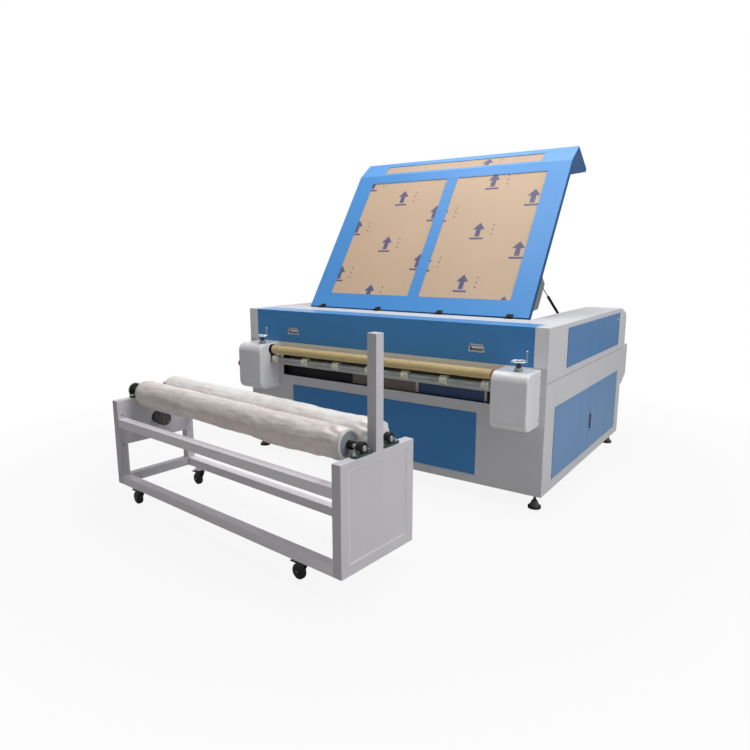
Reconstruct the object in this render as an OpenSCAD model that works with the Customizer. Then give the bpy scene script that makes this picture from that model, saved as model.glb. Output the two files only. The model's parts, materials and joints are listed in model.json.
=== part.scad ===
// Fabric laser cutting machine with an automatic feed roller cart.
// Millimetres, +Z up. +X is to the right and +Y is away from someone who
// stands at the feed side. The origin is on the floor, at the middle of the
// outline that the machine and its cart cover together.

/* [Cabinet] */
// Overall width of the cabinet
machine_w = 2280; // [2100:10:2600]
// Depth of the upper casing, feed side to operator side
machine_d = 1740; // [1500:10:1950]
// Height of the casing's top above the floor
machine_h = 1060; // [1020:5:1160]
// Underside of the cabinet above the floor
foot_h = 90; // [80:1:110]
// Height of the seam between lower cabinet and upper casing
seam_z = 750; // [745:1:760]
// Width of each side arm
arm_w = 255; // [225:5:270]
// Thickness of the cabinet sheet
sheet = 3; // [2:0.5:4]
// How far the lower cabinet stands back under the casing at the operator side
low_setback = 50; // [25:1:60]
// How far the operator's shelf stands out past the casing
shelf_out = 99; // [90:1:160]
// Height of the operator's shelf, seam to bottom edge
shelf_h = 286; // [200:1:330]
// How far the shelf's top stands above the seam
shelf_rise = 18; // [0:1:20]

/* [Panels and doors] */
// Thickness of the blue panels and doors
panel_t = 3; // [2:0.5:4]
// Height of the lower panels and doors
low_panel_h = 437; // [380:1:460]
// Lower edge of the lower panels above the floor
low_panel_z = 153; // [135:1:170]
// Margin from the lower side panels to the feed side corners
side_margin = 160; // [120:1:220]
// Margin from the lower side panels to the operator side corners
side_margin_far = 125; // [100:1:200]
// Margin from the feed side and operator side panels to the cabinet's corners
end_margin = 415; // [340:5:460]
// Lower edge of those two panels above the floor
end_panel_z = 144; // [130:1:160]
// Height of the feed side panel
feed_panel_h = 386; // [320:1:400]
// Lower edge of the upper side panels above the floor
high_panel_z = 794; // [780:1:810]
// Height of the upper side panels
high_panel_h = 238; // [180:1:240]
// Feed side edge of the upper side panels
high_panel_y = 330; // [280:5:420]
// Distance from the upper side panels to the operator side
high_panel_end = 210; // [140:5:260]
// Depth of the folded edge behind a door
door_return = 15; // [10:1:25]
// Clearance between a door or cover and what it closes on
door_gap = 0.5; // [0.3:0.1:0.8]

/* [Lid] */
// Opening angle of the lid as it stands
lid_open = 56.5; // [40:0.5:65]
// Side gap between the lid and the arms
lid_gap = 12; // [6:1:16]
// Slope of the lid's front part
lid_slope = 18; // [10:1:22]
// Length of the lid's sloping front part
lid_slope_l = 171; // [140:1:220]
// How far the closed lid stands out past the arms
lid_overhang = 10; // [0:1:20]
// Height of the lid's front flange
lid_flange_h = 235; // [180:1:238]
// Width of the frame beside and below the large windows
lid_border = 150; // [110:5:180]
// Distance from the hinge line to the large windows
window_s = 124; // [110:1:160]
// Width of the bar between the two large windows
mullion = 86; // [60:1:110]
// Thickness of the window panes
pane_t = 4; // [3:0.5:6]

/* [Feed rollers] */
// Width of one feed gear box
gearbox_w = 214; // [190:1:220]
// How far the gear boxes stand out from the cabinet
gearbox_d = 195; // [180:1:215]
// Height of the gear boxes
gearbox_h = 325; // [290:1:340]
// Distance from the cabinet's side to the right gear box
gearbox_inset = 35; // [20:1:45]
// How much further in the left gear box stands
gearbox_shift = 35; // [0:1:50]
// Radius of the wrapped feed roller
feed_r = 30; // [25:1:34]
// Height of the feed roller's axis
feed_z = 786; // [778:1:786]
// Distance of the feed roller's axis in front of the cabinet
feed_y = 70; // [60:1:80]
// Radius of the pinch wheels
pinch_r = 27; // [22:1:30]
// Gap between the feed roller and the pinch wheels
nip_gap = 8; // [1:0.5:10]
// Number of pinch wheels
pinch_count = 7; // [5:1:9]
// Radius of the handwheels
handwheel_r = 50; // [40:1:52]

/* [Conveyor bed and gantry] */
// Width of the conveyor belt
belt_w = 1600; // [1400:10:1600]
// Radius of the conveyor rollers
belt_r = 56; // [48:1:58]
// Height of the conveyor roller axes
belt_z = 675; // [672:1:678]
// Where the gantry stands, measured from the feed side
gantry_y = 1000; // [800:10:1100]
// Where the laser head stands, measured from the middle
head_x = 220; // [-300:10:400]
// Radius of the laser tube
tube_r = 40; // [30:1:45]

/* [Feeder cart] */
// Length of the cart
cart_l = 1810; // [1600:10:2000]
// Depth of the cart
cart_d = 500; // [470:5:600]
// Height of the cart's end frames
cart_h = 615; // [560:5:700]
// Underside of the cart's frame above the floor
cart_z = 111; // [105:1:125]
// Size of the square tubes
cart_tube = 50; // [40:1:52]
// Turn of the cart away from the machine's line
cart_turn = 4.9; // [0:0.1:8]
// Distance from the cabinet's right side to the cart's near right corner
cart_inset = 348; // [250:1:420]
// Distance from the cabinet's feed side face to that corner
cart_reach = 1402; // [1250:1:1800]
// Height of the square post above the end frame
post_h = 514; // [300:1:600]
// Radius of the cart's rollers
roller_r = 72; // [55:1:76]
// Depth position of the near roller
near_roller_y = 160; // [150:1:162]
// Depth position of the far roller
far_roller_y = 345; // [343:1:370]

/* [Hidden] */

// Colours
shell_white = [0.80, 0.80, 0.79];
panel_blue = [0.16, 0.38, 0.62];
lid_blue = [0.26, 0.54, 0.84];
dark = [0.08, 0.08, 0.09];
steel = [0.62, 0.63, 0.65];
kraft = [0.72, 0.60, 0.42];

// Running clearance of a shaft in its bore, on the radius
run_fit = 0.05;
// Clearance of a piece that slides over another
slide_gap = 0.5;

half_w = machine_w / 2;
low_d = machine_d - low_setback;
// Middle of the ground outline, from the cabinet's feed side face
mid_y = (machine_d + shelf_out - cart_reach) / 2;

// Upper casing
arm_x = half_w - arm_w;
cover_y = 175;
strip_end = 371;
chamber_z = 835;
pillar_w = 80;
cover_w = machine_w - 2 * pillar_w;
tube_y = 250;
tube_z = chamber_z + 100;
panel_box_t = 12;
stop_stem_r = 8;

// Panels, doors and handles
side_l = low_d - side_margin - side_margin_far;
door_l = side_l / 2 - 1;
high_panel_l = machine_d - high_panel_y - high_panel_end;
operator_panel_h = seam_z - shelf_h - end_panel_z - 20;
latch_y = side_margin + door_l + 34;
latch_z = low_panel_z + 235;
latch_pin_r = 6;
cup_x = 712;
cup_w = 86;
cup_h = 32;
cup_depth = 22;
cup_z = seam_z + 167;

// Lid, measured along the closed lid from its pivot
pivot_y = strip_end + 3;
pivot_z = machine_h + 8;
lid_top = machine_h - pivot_z;
lid_w = 2 * (arm_x - lid_gap);
lid_end = machine_d - pivot_y + lid_overhang;
lid_main = lid_end - lid_slope_l * cos(lid_slope);
lid_drop = lid_slope_l * sin(lid_slope);
lid_edge = 6;
lid_rim = 40;
window_l = lid_main - window_s - 77;
window_w = (lid_w - 2 * lid_border - mullion) / 2;
small_window_w = lid_w - 2 * lid_border - 140;
small_window_l = 96;
small_window_s = 24;
hinge_spacing = 500;
hinge_l = 44;
hinge_r = 7;
hinge_pin_r = 3;

// Gas struts
strut_x = lid_w / 2 - 25;
strut_s = 309;
strut_drop = 120;
strut_base_y = 1091;
strut_base_z = machine_h - 58;
strut_tube_l = 350;
strut_tube_r = 9;
strut_rod_r = 4;
strut_pin_r = 4;
lid_pin = rotated([strut_s, -strut_drop], lid_open) + [pivot_y, pivot_z];
strut_vec = lid_pin - [strut_base_y, strut_base_z];
strut_len = norm(strut_vec);
strut_angle = atan2(strut_vec[1], strut_vec[0]);
strut_rod_l = strut_len - strut_tube_l + 25;

// Feed unit
gearbox_x = half_w - gearbox_inset - gearbox_w;
gearbox_left_x = gearbox_x - gearbox_shift;
gearbox_z = seam_z + 79 - gearbox_h;
gearbox_round = 55;
bearing_x = gearbox_x + 130;
bearing_left_x = gearbox_left_x + 45;
bearing_t = 12;
feed_journal_r = 10;
pinch_z = feed_z - feed_r - pinch_r - nip_gap;
pinch_shaft_r = 12;
pinch_journal_r = 8;
pinch_wheel_w = 46;
pinch_pitch = 2 * (gearbox_left_x - 43) / (pinch_count - 1);
mouth_w = 2 * (gearbox_x - 75);
mouth_z = 595;
screw_y = 120;
screw_r = 6;
handwheel_z = seam_z + 132;
bearing_top = feed_z + 36;

// Bed
belt_t = 3;
belt_near_y = 100;
belt_far_y = low_d - 100;
bed_x = belt_w / 2 + 20;
bed_beam = 40;
bed_beam_z = 600;
bed_top = seam_z + 10;
bed_journal_r = 15;
rail_size = 20;
carriage_l = 120;
beam_z = bed_top + 40;
beam_h = 80;
beam_d = 60;
nozzle_r = 12;
head_y = gantry_y + beam_d / 2 + slide_gap;

// Cart
bearing_h = 33.3;
roller_axis_z = cart_h + bearing_h;
shaft_r = 10;
roller_end = 95;
post_y = (near_roller_y + far_roller_y - cart_tube) / 2;
cart_beam_z = cart_h - 155;
caster_x_right = 272;
caster_x_left = cart_l - 165;
caster_y_near = 42;
caster_y_far = cart_d - 42;
wheel_r = 37.5;
wheel_w = 24;
caster_trail = 28;
caster_plate_t = 4;
left_plate_h = 265;
sprocket_out = 28;
sprocket_t = 12;
motor_y = 250;
motor_z = cart_h - 140;
motor_r = 40;

// ---------------------------------------------------------------- helpers
function rotated(p, a) = [p[0] * cos(a) - p[1] * sin(a), p[0] * sin(a) + p[1] * cos(a)];

// Points of a rounded corner at b, between the straight runs a-b and b-c
function fillet(a, b, c, r, n = 8) =
    let (u = (a - b) / norm(a - b), v = (c - b) / norm(c - b),
         half = acos(u * v) / 2, t = r / tan(half),
         m = (u + v) / norm(u + v), o = b + m * (r / sin(half)),
         p = b + u * t, q = b + v * t,
         a0 = atan2(p[1] - o[1], p[0] - o[0]), a1 = atan2(q[1] - o[1], q[0] - o[0]),
         d = (a1 - a0 + 540) % 360 - 180)
    [for (i = [0:n]) o + r * [cos(a0 + d * i / n), sin(a0 + d * i / n)]];

// Machine frame: Y is measured from the cabinet's feed side face
module machine() {
    translate([0, -mid_y, 0]) children();
}

// Cart frame: X runs to the left from the near right corner as negative values
module cart() {
    translate([half_w - cart_inset, -cart_reach - mid_y, 0])
        rotate([0, 0, -cart_turn]) children();
}

// Extrudes an outline drawn in Y and Z along X, from x to x + w
module along_x(x, w) {
    translate([x, 0, 0]) rotate([90, 0, 90]) linear_extrude(w) children();
}

// Cylinder along X, from x to x + w, about the axis at y, z
module rod_x(x, w, y, z, r, fn = 48) {
    translate([x, y, z]) rotate([0, 90, 0]) cylinder(h = w, r = r, $fn = fn);
}

module block(x, y, z, size) {
    translate([x, y, z]) cube(size);
}

// Both mirrored sides of a piece drawn on the right
module both_sides() {
    children();
    mirror([1, 0, 0]) children();
}

// ---------------------------------------------------------------- cabinet
module side_window(z, h, y0, y1) {
    lap = 15;
    block(half_w - 2 * sheet, y0 + lap, z + lap, [3 * sheet, y1 - y0 - 2 * lap, h - 2 * lap]);
}

module cabinet_post(y) {
    block(half_w - 50, y, foot_h, [50, 50, bed_beam_z - 40 - foot_h]);
}

// Cut-out behind a fixed panel, z to z + h, in the wall whose outer face is at y
module end_window(y, z, h) {
    lap = 15;
    block(-half_w + end_margin + lap, y - 2 * sheet, z + lap,
          [machine_w - 2 * (end_margin + lap), 4 * sheet, h - 2 * lap]);
}

module lower_cabinet() machine() color(shell_white) {
    difference() {
        union() {
            difference() {
                block(-half_w, 0, foot_h, [machine_w, low_d, seam_z - foot_h]);
                block(-half_w + sheet, sheet, foot_h + sheet,
                      [machine_w - 2 * sheet, low_d - 2 * sheet, seam_z]);
            }
            both_sides() {
                cabinet_post(0);
                cabinet_post(low_d - 50);
                block(half_w - 60, 0, bed_beam_z - 80, [40, low_d, 40]);
            }
        }
        both_sides() side_window(low_panel_z, low_panel_h, side_margin, side_margin + side_l);
        end_window(0, end_panel_z, feed_panel_h);
        end_window(low_d, end_panel_z, operator_panel_h);
        block(-mouth_w / 2, -sheet, mouth_z, [mouth_w, 3 * sheet, seam_z]);
        foot_places() cylinder(h = 60, r = 8 + 0.2, $fn = 32);
    }
}

module foot_places() {
    for (x = [-1, 1], y = [58, low_d - 58])
        translate([x * (half_w - 55), y, foot_h - 1]) children();
}

module levelling_feet() machine() color(dark) {
    foot_places() translate([0, 0, 1 - foot_h]) {
        cylinder(h = 14, r = 38, $fn = 48);
        translate([0, 0, 14]) cylinder(h = 34, r1 = 30, r2 = 15, $fn = 48);
        cylinder(h = foot_h + 45, r = 8, $fn = 32);
        translate([0, 0, foot_h - 12]) cylinder(h = 12, r = 14, $fn = 6);
    }
}

module fixed_panels() machine() color(panel_blue) {
    end_w = machine_w - 2 * end_margin;
    // Feed side and operator side, lower
    block(-end_w / 2, -panel_t, end_panel_z, [end_w, panel_t, feed_panel_h]);
    block(-end_w / 2, low_d, end_panel_z, [end_w, panel_t, operator_panel_h]);
    // Left side, lower and upper
    block(-half_w - panel_t, side_margin, low_panel_z, [panel_t, side_l, low_panel_h]);
    block(-half_w - panel_t, high_panel_y, high_panel_z, [panel_t, high_panel_l, high_panel_h]);
}

function shelf_outline(inset) =
    let (y0 = low_d + inset, y1 = machine_d + shelf_out - inset, step_y = machine_d + inset,
         z1 = seam_z + shelf_rise - inset, z0 = seam_z - shelf_h + inset)
    concat([[y0, z0], [y1 - 110, z0]],
           fillet([y1 - 110, z0], [y1, z0 + 65], [y1, z1], 30 - inset),
           fillet([y1, z0 + 65], [y1, z1], [step_y, z1], 30 - inset),
           [[step_y, z1], [step_y, seam_z - inset], [y0, seam_z - inset]]);

module front_shelf() machine() color(shell_white) {
    difference() {
        along_x(-half_w, machine_w) polygon(shelf_outline(0));
        along_x(-half_w + sheet, machine_w - 2 * sheet) polygon(shelf_outline(sheet));
    }
}

// Side outline of an arm: flat top, then the lid's slope and a round nose
function arm_outline(inset) =
    let (y1 = machine_d - inset, z0 = seam_z + inset, z1 = machine_h - inset,
         bend = pivot_y + lid_main, tip = z1 - (y1 - bend) * tan(lid_slope))
    concat([[inset, z0], [inset, z1]],
           fillet([inset, z1], [bend, z1], [y1, tip], 120),
           fillet([bend, z1], [y1, tip], [y1, z0], 60 - inset),
           [[y1, z0]]);

module arm_shell() {
    difference() {
        along_x(arm_x, arm_w) polygon(arm_outline(0));
        along_x(arm_x + sheet, arm_w - 2 * sheet) polygon(arm_outline(sheet));
        side_window(high_panel_z, high_panel_h, high_panel_y, high_panel_y + high_panel_l);
        // The rear cover reaches over the arm up to the corner pillar
        block(arm_x - 1, -1, chamber_z, [arm_w - pillar_w + 1, cover_y + 1, machine_h]);
    }
    // Corner pillar beside the rear cover
    block(half_w - pillar_w, 0, chamber_z, [sheet, cover_y, machine_h - chamber_z]);
    // Welded pivot stud of the gas strut
    rod_x(strut_x - 8, arm_x - strut_x + 8, strut_base_y, strut_base_z, strut_pin_r);
}

module right_arm() machine() color(shell_white) arm_shell();

module left_arm() machine() color(shell_white) mirror([1, 0, 0]) arm_shell();

module rear_casing() machine() color(shell_white) {
    w = 2 * arm_x;
    // Lip above the feed roller, chamber floor, wall to the bed, top strip
    block(-arm_x, 0, chamber_z - 40, [w, sheet, 40]);
    block(-arm_x, 0, chamber_z - sheet, [w, strip_end, sheet]);
    block(-arm_x, strip_end - sheet, chamber_z - sheet, [w, sheet, machine_h - chamber_z + sheet]);
    block(-arm_x, cover_y, machine_h - sheet, [w, strip_end - cover_y, sheet]);
}

// ---------------------------------------------------------------- lid hinges
module hinge_places() {
    for (i = [-1.5:1:1.5])
        translate([i * hinge_spacing, pivot_y, pivot_z]) children();
}

module hinge_bases() machine() color(dark) {
    knuckle = hinge_l / 3 - slide_gap;
    hinge_places() {
        for (s = [-1, 1])
            rod_x(s > 0 ? hinge_l / 2 - knuckle : -hinge_l / 2, knuckle, 0, 0, hinge_r, 32);
        rod_x(-hinge_l / 2, hinge_l, 0, 0, hinge_pin_r, 24);
        for (s = [-1, 1])
            block(s > 0 ? hinge_l / 2 - knuckle : -hinge_l / 2, -24, lid_top,
                  [knuckle, 22, 3]);
        block(-hinge_l / 2, -24, lid_top, [hinge_l, 16, 3]);
    }
}

module lid_hinges() machine() color(dark) {
    knuckle = hinge_l / 3 - slide_gap;
    hinge_places() rotate([lid_open, 0, 0]) difference() {
        union() {
            rod_x(-knuckle / 2, knuckle, 0, 0, hinge_r, 32);
            block(-knuckle / 2, 2, lid_top, [knuckle, 20, 4]);
            block(-hinge_l / 2, 10, lid_top, [hinge_l, 15, 3]);
        }
        rod_x(-hinge_l, 2 * hinge_l, 0, 0, hinge_pin_r + run_fit, 24);
    }
}

// ---------------------------------------------------------------- lid
module lid_frame_pose() {
    machine() translate([0, pivot_y, pivot_z]) rotate([lid_open, 0, 0]) children();
}

module sloped() {
    translate([0, lid_main, lid_top]) rotate([-lid_slope, 0, 0]) children();
}

module window_places() {
    for (s = [-1, 1])
        translate([s > 0 ? mullion / 2 : -mullion / 2 - window_w, window_s, 0]) children();
}

// End plate of the lid, drawn as the Y and Z outline
module lid_end_outline() {
    nose_y = lid_end;
    nose_z = lid_top - lid_drop;
    lip_z = nose_z - lid_flange_h;
    polygon([[lid_edge, lid_top], [lid_main, lid_top], [nose_y, nose_z], [nose_y, lip_z],
             [nose_y - 28, lip_z], [lid_main - 90, lid_top - lid_rim],
             [lid_edge, lid_top - lid_rim]]);
}

module strut_bracket() {
    // Triangular plate that carries the strut's pin under the lid
    along_x(strut_x + 12, 4)
        polygon([[strut_s - 150, lid_top - 2], [strut_s + 40, lid_top - 2],
                 [strut_s + 16, -strut_drop - 14], [strut_s - 60, -strut_drop - 14]]);
    rod_x(strut_x + 6, 10, strut_s, -strut_drop, strut_pin_r);
}

module lid_frame() lid_frame_pose() color(lid_blue) {
    difference() {
        union() {
            block(-lid_w / 2, lid_edge, lid_top - sheet, [lid_w, lid_main - lid_edge, sheet]);
            sloped() block(-lid_w / 2, -1, -sheet, [lid_w, lid_slope_l + 1, sheet]);
        }
        window_places() translate([0, 0, lid_top - 2 * sheet]) cube([window_w, window_l, 3 * sheet]);
        sloped() block(-small_window_w / 2, small_window_s, -2 * sheet,
                       [small_window_w, small_window_l, 3 * sheet]);
    }
    // Front flange with its lip
    block(-lid_w / 2, lid_end - sheet, lid_top - lid_drop - lid_flange_h,
          [lid_w, sheet, lid_flange_h]);
    block(-lid_w / 2, lid_end - 28, lid_top - lid_drop - lid_flange_h, [lid_w, 28, sheet]);
    // Hinge side rim and end plates
    block(-lid_w / 2, lid_edge, lid_top - lid_rim, [lid_w, sheet, lid_rim]);
    both_sides() along_x(lid_w / 2 - sheet, sheet) lid_end_outline();
    // Stiffening ribs beside the windows
    both_sides() block(mullion / 2 + window_w + 30, lid_edge, lid_top - 25, [sheet, lid_main, 25]);
    block(-mullion / 2 + 8, lid_edge, lid_top - 25, [mullion - 16, lid_main - lid_edge, 22]);
    both_sides() strut_bracket();
}

module lid_windows() lid_frame_pose() color(kraft) {
    lap = 18;
    rib_lap = 6;
    both_sides() block(mullion / 2 - rib_lap, window_s - lap, lid_top - sheet - pane_t,
                       [window_w + rib_lap + lap, window_l + 2 * lap, pane_t]);
    sloped() block(-small_window_w / 2 - lap, small_window_s - lap, -sheet - pane_t,
                   [small_window_w + 2 * lap, small_window_l + 2 * lap, pane_t]);
}

// ---------------------------------------------------------------- gas struts
// Frame of a strut at its casing pivot, with +Y pointing along the rod
module strut_frame() {
    machine() translate([0, strut_base_y, strut_base_z])
        rotate([strut_angle, 0, 0]) children();
}

module strut_tube(x) {
    color(dark) difference() {
        union() {
            translate([x, 14, 0]) rotate([-90, 0, 0])
                cylinder(h = strut_tube_l - 14, r = strut_tube_r, $fn = 32);
            rod_x(x - 5, 10, 0, 0, 10, 32);
            block(x - 4, 0, -5, [8, 20, 10]);
        }
        translate([x, 24, 0]) rotate([-90, 0, 0])
            cylinder(h = strut_tube_l, r = strut_rod_r + run_fit, $fn = 32);
        rod_x(x - 10, 20, 0, 0, strut_pin_r + run_fit, 32);
    }
}

module strut_rod(x) {
    color(steel) difference() {
        union() {
            translate([x, strut_len - strut_rod_l, 0]) rotate([-90, 0, 0])
                cylinder(h = strut_rod_l - 10, r = strut_rod_r, $fn = 32);
            rod_x(x - 5, 10, strut_len, 0, 13, 32);
        }
        rod_x(x - 10, 20, strut_len, 0, strut_pin_r + 4, 32);
    }
}

module strut_tube_left() strut_frame() strut_tube(-strut_x);
module strut_tube_right() strut_frame() strut_tube(strut_x);
module strut_rod_left() strut_frame() strut_rod(-strut_x);
module strut_rod_right() strut_frame() strut_rod(strut_x);

// ---------------------------------------------------------------- feed unit
function gearbox_outline(inset) =
    let (y0 = -gearbox_d + inset, z0 = gearbox_z + inset, z1 = gearbox_z + gearbox_h - inset)
    concat([[0, z0]],
           fillet([0, z0], [y0, z0], [y0, z1], gearbox_round - inset),
           fillet([y0, z0], [y0, z1], [0, z1], gearbox_round - inset),
           [[0, z1]]);

// Shell whose inner side is at x, with its screw at screw_x
module gearbox_shell(x, screw_x) {
    difference() {
        along_x(x, gearbox_w) polygon(gearbox_outline(0));
        difference() {
            along_x(x + sheet, gearbox_w - 2 * sheet) polygon(gearbox_outline(sheet));
            // Mounting edge along the cabinet
            block(x, -sheet, gearbox_z, [20, sheet, gearbox_h - 80]);
            block(x + gearbox_w - 20, -sheet, gearbox_z, [20, sheet, gearbox_h]);
        }
        // Openings for the feed roller and, below it, the pinch shaft
        rod_x(x - 1, sheet + 2, -feed_y, feed_z, feed_r + 6);
        block(x - 1, -feed_y - 16, pinch_z - 24, [sheet + 2, 32, feed_z - pinch_z]);
        translate([screw_x, -screw_y, 0])
            cylinder(h = machine_h, r = screw_r + 2, $fn = 32);
    }
}

module gearbox_right() machine() color(shell_white)
    gearbox_shell(gearbox_x, bearing_x);
module gearbox_left() machine() color(shell_white) mirror([1, 0, 0])
    gearbox_shell(gearbox_left_x, bearing_left_x);

module bearing_set(x) {
    difference() {
        block(x - bearing_t / 2, -screw_y - 14, pinch_z - 40,
              [bearing_t, screw_y + 14, bearing_top - pinch_z + 40]);
        rod_x(x - 20, 40, -feed_y, feed_z, feed_journal_r + run_fit);
        rod_x(x - 20, 40, -feed_y, pinch_z, pinch_journal_r + run_fit);
        translate([x, -screw_y, feed_z + 12])
            cylinder(h = 60, r = screw_r - 2 + run_fit, $fn = 32);
    }
    // Threaded collar of the handwheel on top of the gear box
    translate([x, -screw_y, gearbox_z + gearbox_h]) difference() {
        union() {
            cylinder(h = 8, r = 22, $fn = 32);
            translate([0, 0, 8]) cylinder(h = 12, r = 14, $fn = 6);
        }
        translate([0, 0, -1]) cylinder(h = 30, r = screw_r + run_fit, $fn = 32);
    }
}

module bearing_plates() machine() color(steel) {
    bearing_set(bearing_x);
    mirror([1, 0, 0]) bearing_set(bearing_left_x);
}

module support_bar() machine() color(steel) {
    block(-gearbox_left_x, -24, mouth_z + 78, [gearbox_left_x + gearbox_x, 24, 24]);
}

// Bar of radius r between the gear boxes, with journals that reach the bearing plates
module feed_bar(z, r, journal_r) {
    rod_x(-gearbox_left_x - 22, gearbox_left_x + gearbox_x + 44, -feed_y, z, r, 64);
    rod_x(-bearing_left_x - 12, bearing_left_x + bearing_x + 24, -feed_y, z, journal_r);
}

module feed_roller() machine() color(kraft) feed_bar(feed_z, feed_r, feed_journal_r);

module pinch_shaft() machine() color(steel) feed_bar(pinch_z, pinch_shaft_r, pinch_journal_r);

module pinch_wheels() machine() color([0.85, 0.87, 0.78]) {
    for (i = [0:pinch_count - 1])
        translate([(i - (pinch_count - 1) / 2) * pinch_pitch, 0, 0]) difference() {
            union() {
                rod_x(-pinch_wheel_w / 2, pinch_wheel_w, -feed_y, pinch_z, pinch_r - 4);
                for (x = [-pinch_wheel_w / 2, -5, pinch_wheel_w / 2 - 10])
                    rod_x(x, 10, -feed_y, pinch_z, pinch_r);
            }
            rod_x(-40, 80, -feed_y, pinch_z, pinch_shaft_r + run_fit);
        }
}

// Handwheel with its screw and crank knob, about its own axis
module handwheel() {
    rim = 5;
    cylinder(h = 6, r = 12, $fn = 32);
    translate([0, 0, 3]) {
        rotate_extrude($fn = 64) translate([handwheel_r - rim, 0]) circle(r = rim, $fn = 24);
        for (a = [0, 120, 240])
            rotate([0, 0, a]) translate([0, -4, -2]) cube([handwheel_r - rim, 8, 4]);
    }
    translate([0, 0, feed_z + 14 - handwheel_z])
        cylinder(h = bearing_top - feed_z - 12, r = screw_r - 2, $fn = 32);
    translate([0, 0, bearing_top + 1 - handwheel_z])
        cylinder(h = handwheel_z - bearing_top - 1, r = screw_r, $fn = 32);
    // Crank knob on the rim
    translate([handwheel_r - rim, 0, 3]) {
        cylinder(h = 45, r = 3, $fn = 24);
        translate([0, 0, 14]) cylinder(h = 48, r1 = 4, r2 = 6, $fn = 24);
    }
}

module handwheel_right() machine() color(steel)
    translate([bearing_x, -screw_y, handwheel_z]) handwheel();
module handwheel_left() machine() color(steel)
    translate([-bearing_left_x, -screw_y, handwheel_z]) handwheel();

// ---------------------------------------------------------------- bed
module bed_frame() machine() color(dark) {
    slats = 14;
    span = belt_far_y - belt_near_y;
    difference() {
        union() {
            both_sides() block(bed_x, belt_near_y - 55, bed_beam_z,
                               [bed_beam, span + 110, bed_top - bed_beam_z]);
            // Rails of the gantry
            both_sides() block(bed_x + (bed_beam - rail_size) / 2, strip_end + 19, bed_top,
                               [rail_size, belt_far_y + 10 - strip_end - 19, rail_size]);
            // Cross tubes that rest on the cabinet's side rails
            for (y = [300, low_d / 2, low_d - 300])
                block(-half_w + 22, y - 20, bed_beam_z - 40, [machine_w - 44, 40, 40]);
            // Slats under the belt's upper run
            for (i = [1:slats])
                block(-bed_x, belt_near_y + span * i / (slats + 1) - 4, belt_z + belt_r - 24,
                      [2 * bed_x, 8, 23]);
        }
        for (y = [belt_near_y, belt_far_y])
            rod_x(-half_w, machine_w, y, belt_z, bed_journal_r + run_fit);
    }
}

module belt_loop(r) {
    hull_w = belt_far_y - belt_near_y;
    translate([belt_near_y, belt_z]) circle(r = r, $fn = 96);
    translate([belt_far_y, belt_z]) circle(r = r, $fn = 96);
    translate([belt_near_y, belt_z - r]) square([hull_w, 2 * r]);
}

module conveyor_belt() machine() color([0.35, 0.36, 0.37]) {
    along_x(-belt_w / 2, belt_w) difference() {
        belt_loop(belt_r + slide_gap + belt_t);
        belt_loop(belt_r + slide_gap);
    }
}

module bed_roller(y) {
    rod_x(-belt_w / 2, belt_w, y, belt_z, belt_r, 96);
    rod_x(-bed_x - bed_beam - 8, 2 * (bed_x + bed_beam + 8), y, belt_z, bed_journal_r);
}

module drive_roller() machine() color(steel) bed_roller(belt_near_y);
module idler_roller() machine() color(steel) bed_roller(belt_far_y);

module gantry() machine() color(steel) translate([0, gantry_y, 0]) {
    rail_x = bed_x + bed_beam / 2;
    both_sides() difference() {
        block(rail_x - 32, -carriage_l / 2, bed_top + 6, [64, carriage_l, beam_z - bed_top - 6]);
        block(rail_x - rail_size / 2 - slide_gap, -carriage_l, bed_top,
              [rail_size + 2 * slide_gap, 2 * carriage_l, rail_size + slide_gap]);
    }
    // Box beam with the head's rail along its top
    difference() {
        block(-rail_x - 32, -beam_d / 2, beam_z, [2 * rail_x + 64, beam_d, beam_h]);
        block(-rail_x - 33, -beam_d / 2 + 5, beam_z + 5, [2 * rail_x + 66, beam_d - 10, beam_h - 10]);
    }
    block(-bed_x, -10, beam_z + beam_h, [2 * bed_x, 20, 10]);
    // Mirror block at the left end
    block(-rail_x - 20, -45, beam_z + beam_h, [60, 60, 45]);
}

module laser_head() machine() color(dark) translate([head_x, head_y, 0]) {
    difference() {
        union() {
            block(-45, 0, beam_z - 20, [90, 10, beam_h + 40]);
            block(-45, -beam_d + 2, beam_z + beam_h + 11, [90, beam_d + 6, 9]);
            block(-26, 10, beam_z - 10, [52, 54, 40]);
            block(-26, 10, beam_z + beam_h - 20, [52, 54, 36]);
        }
        translate([0, 36, beam_z - 60])
            cylinder(h = beam_h + 60, r = nozzle_r + run_fit, $fn = 48);
    }
}

module nozzle() machine() color([0.75, 0.62, 0.25]) translate([head_x, head_y + 36, 0]) {
    tip = belt_z + belt_r + belt_t + 12;
    translate([0, 0, tip + 30]) cylinder(h = beam_z + 32 - tip - 30, r = nozzle_r, $fn = 48);
    translate([0, 0, tip]) cylinder(h = 30, r1 = 3, r2 = nozzle_r, $fn = 48);
    translate([0, 0, beam_z - 34]) cylinder(h = 8, r = nozzle_r + 6, $fn = 32);
}

module laser_tube() machine() color([0.75, 0.85, 0.88]) {
    rod_x(-820, 1500, tube_y, tube_z, tube_r, 64);
    for (x = [-850, 680]) rod_x(x, 30, tube_y, tube_z, tube_r - 12, 48);
}

module tube_holders() machine() color(dark) {
    for (x = [-560, 400]) difference() {
        block(x - 20, tube_y - 55, chamber_z, [40, 110, tube_z + 52 - chamber_z]);
        rod_x(x - 30, 60, tube_y, tube_z, tube_r + 0.2, 64);
    }
    // First mirror, at the tube's left end
    difference() {
        block(-arm_x + 4, tube_y - 30, chamber_z, [26, 60, 145]);
        rod_x(-arm_x, 60, tube_y, tube_z, 12, 32);
    }
}

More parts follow.
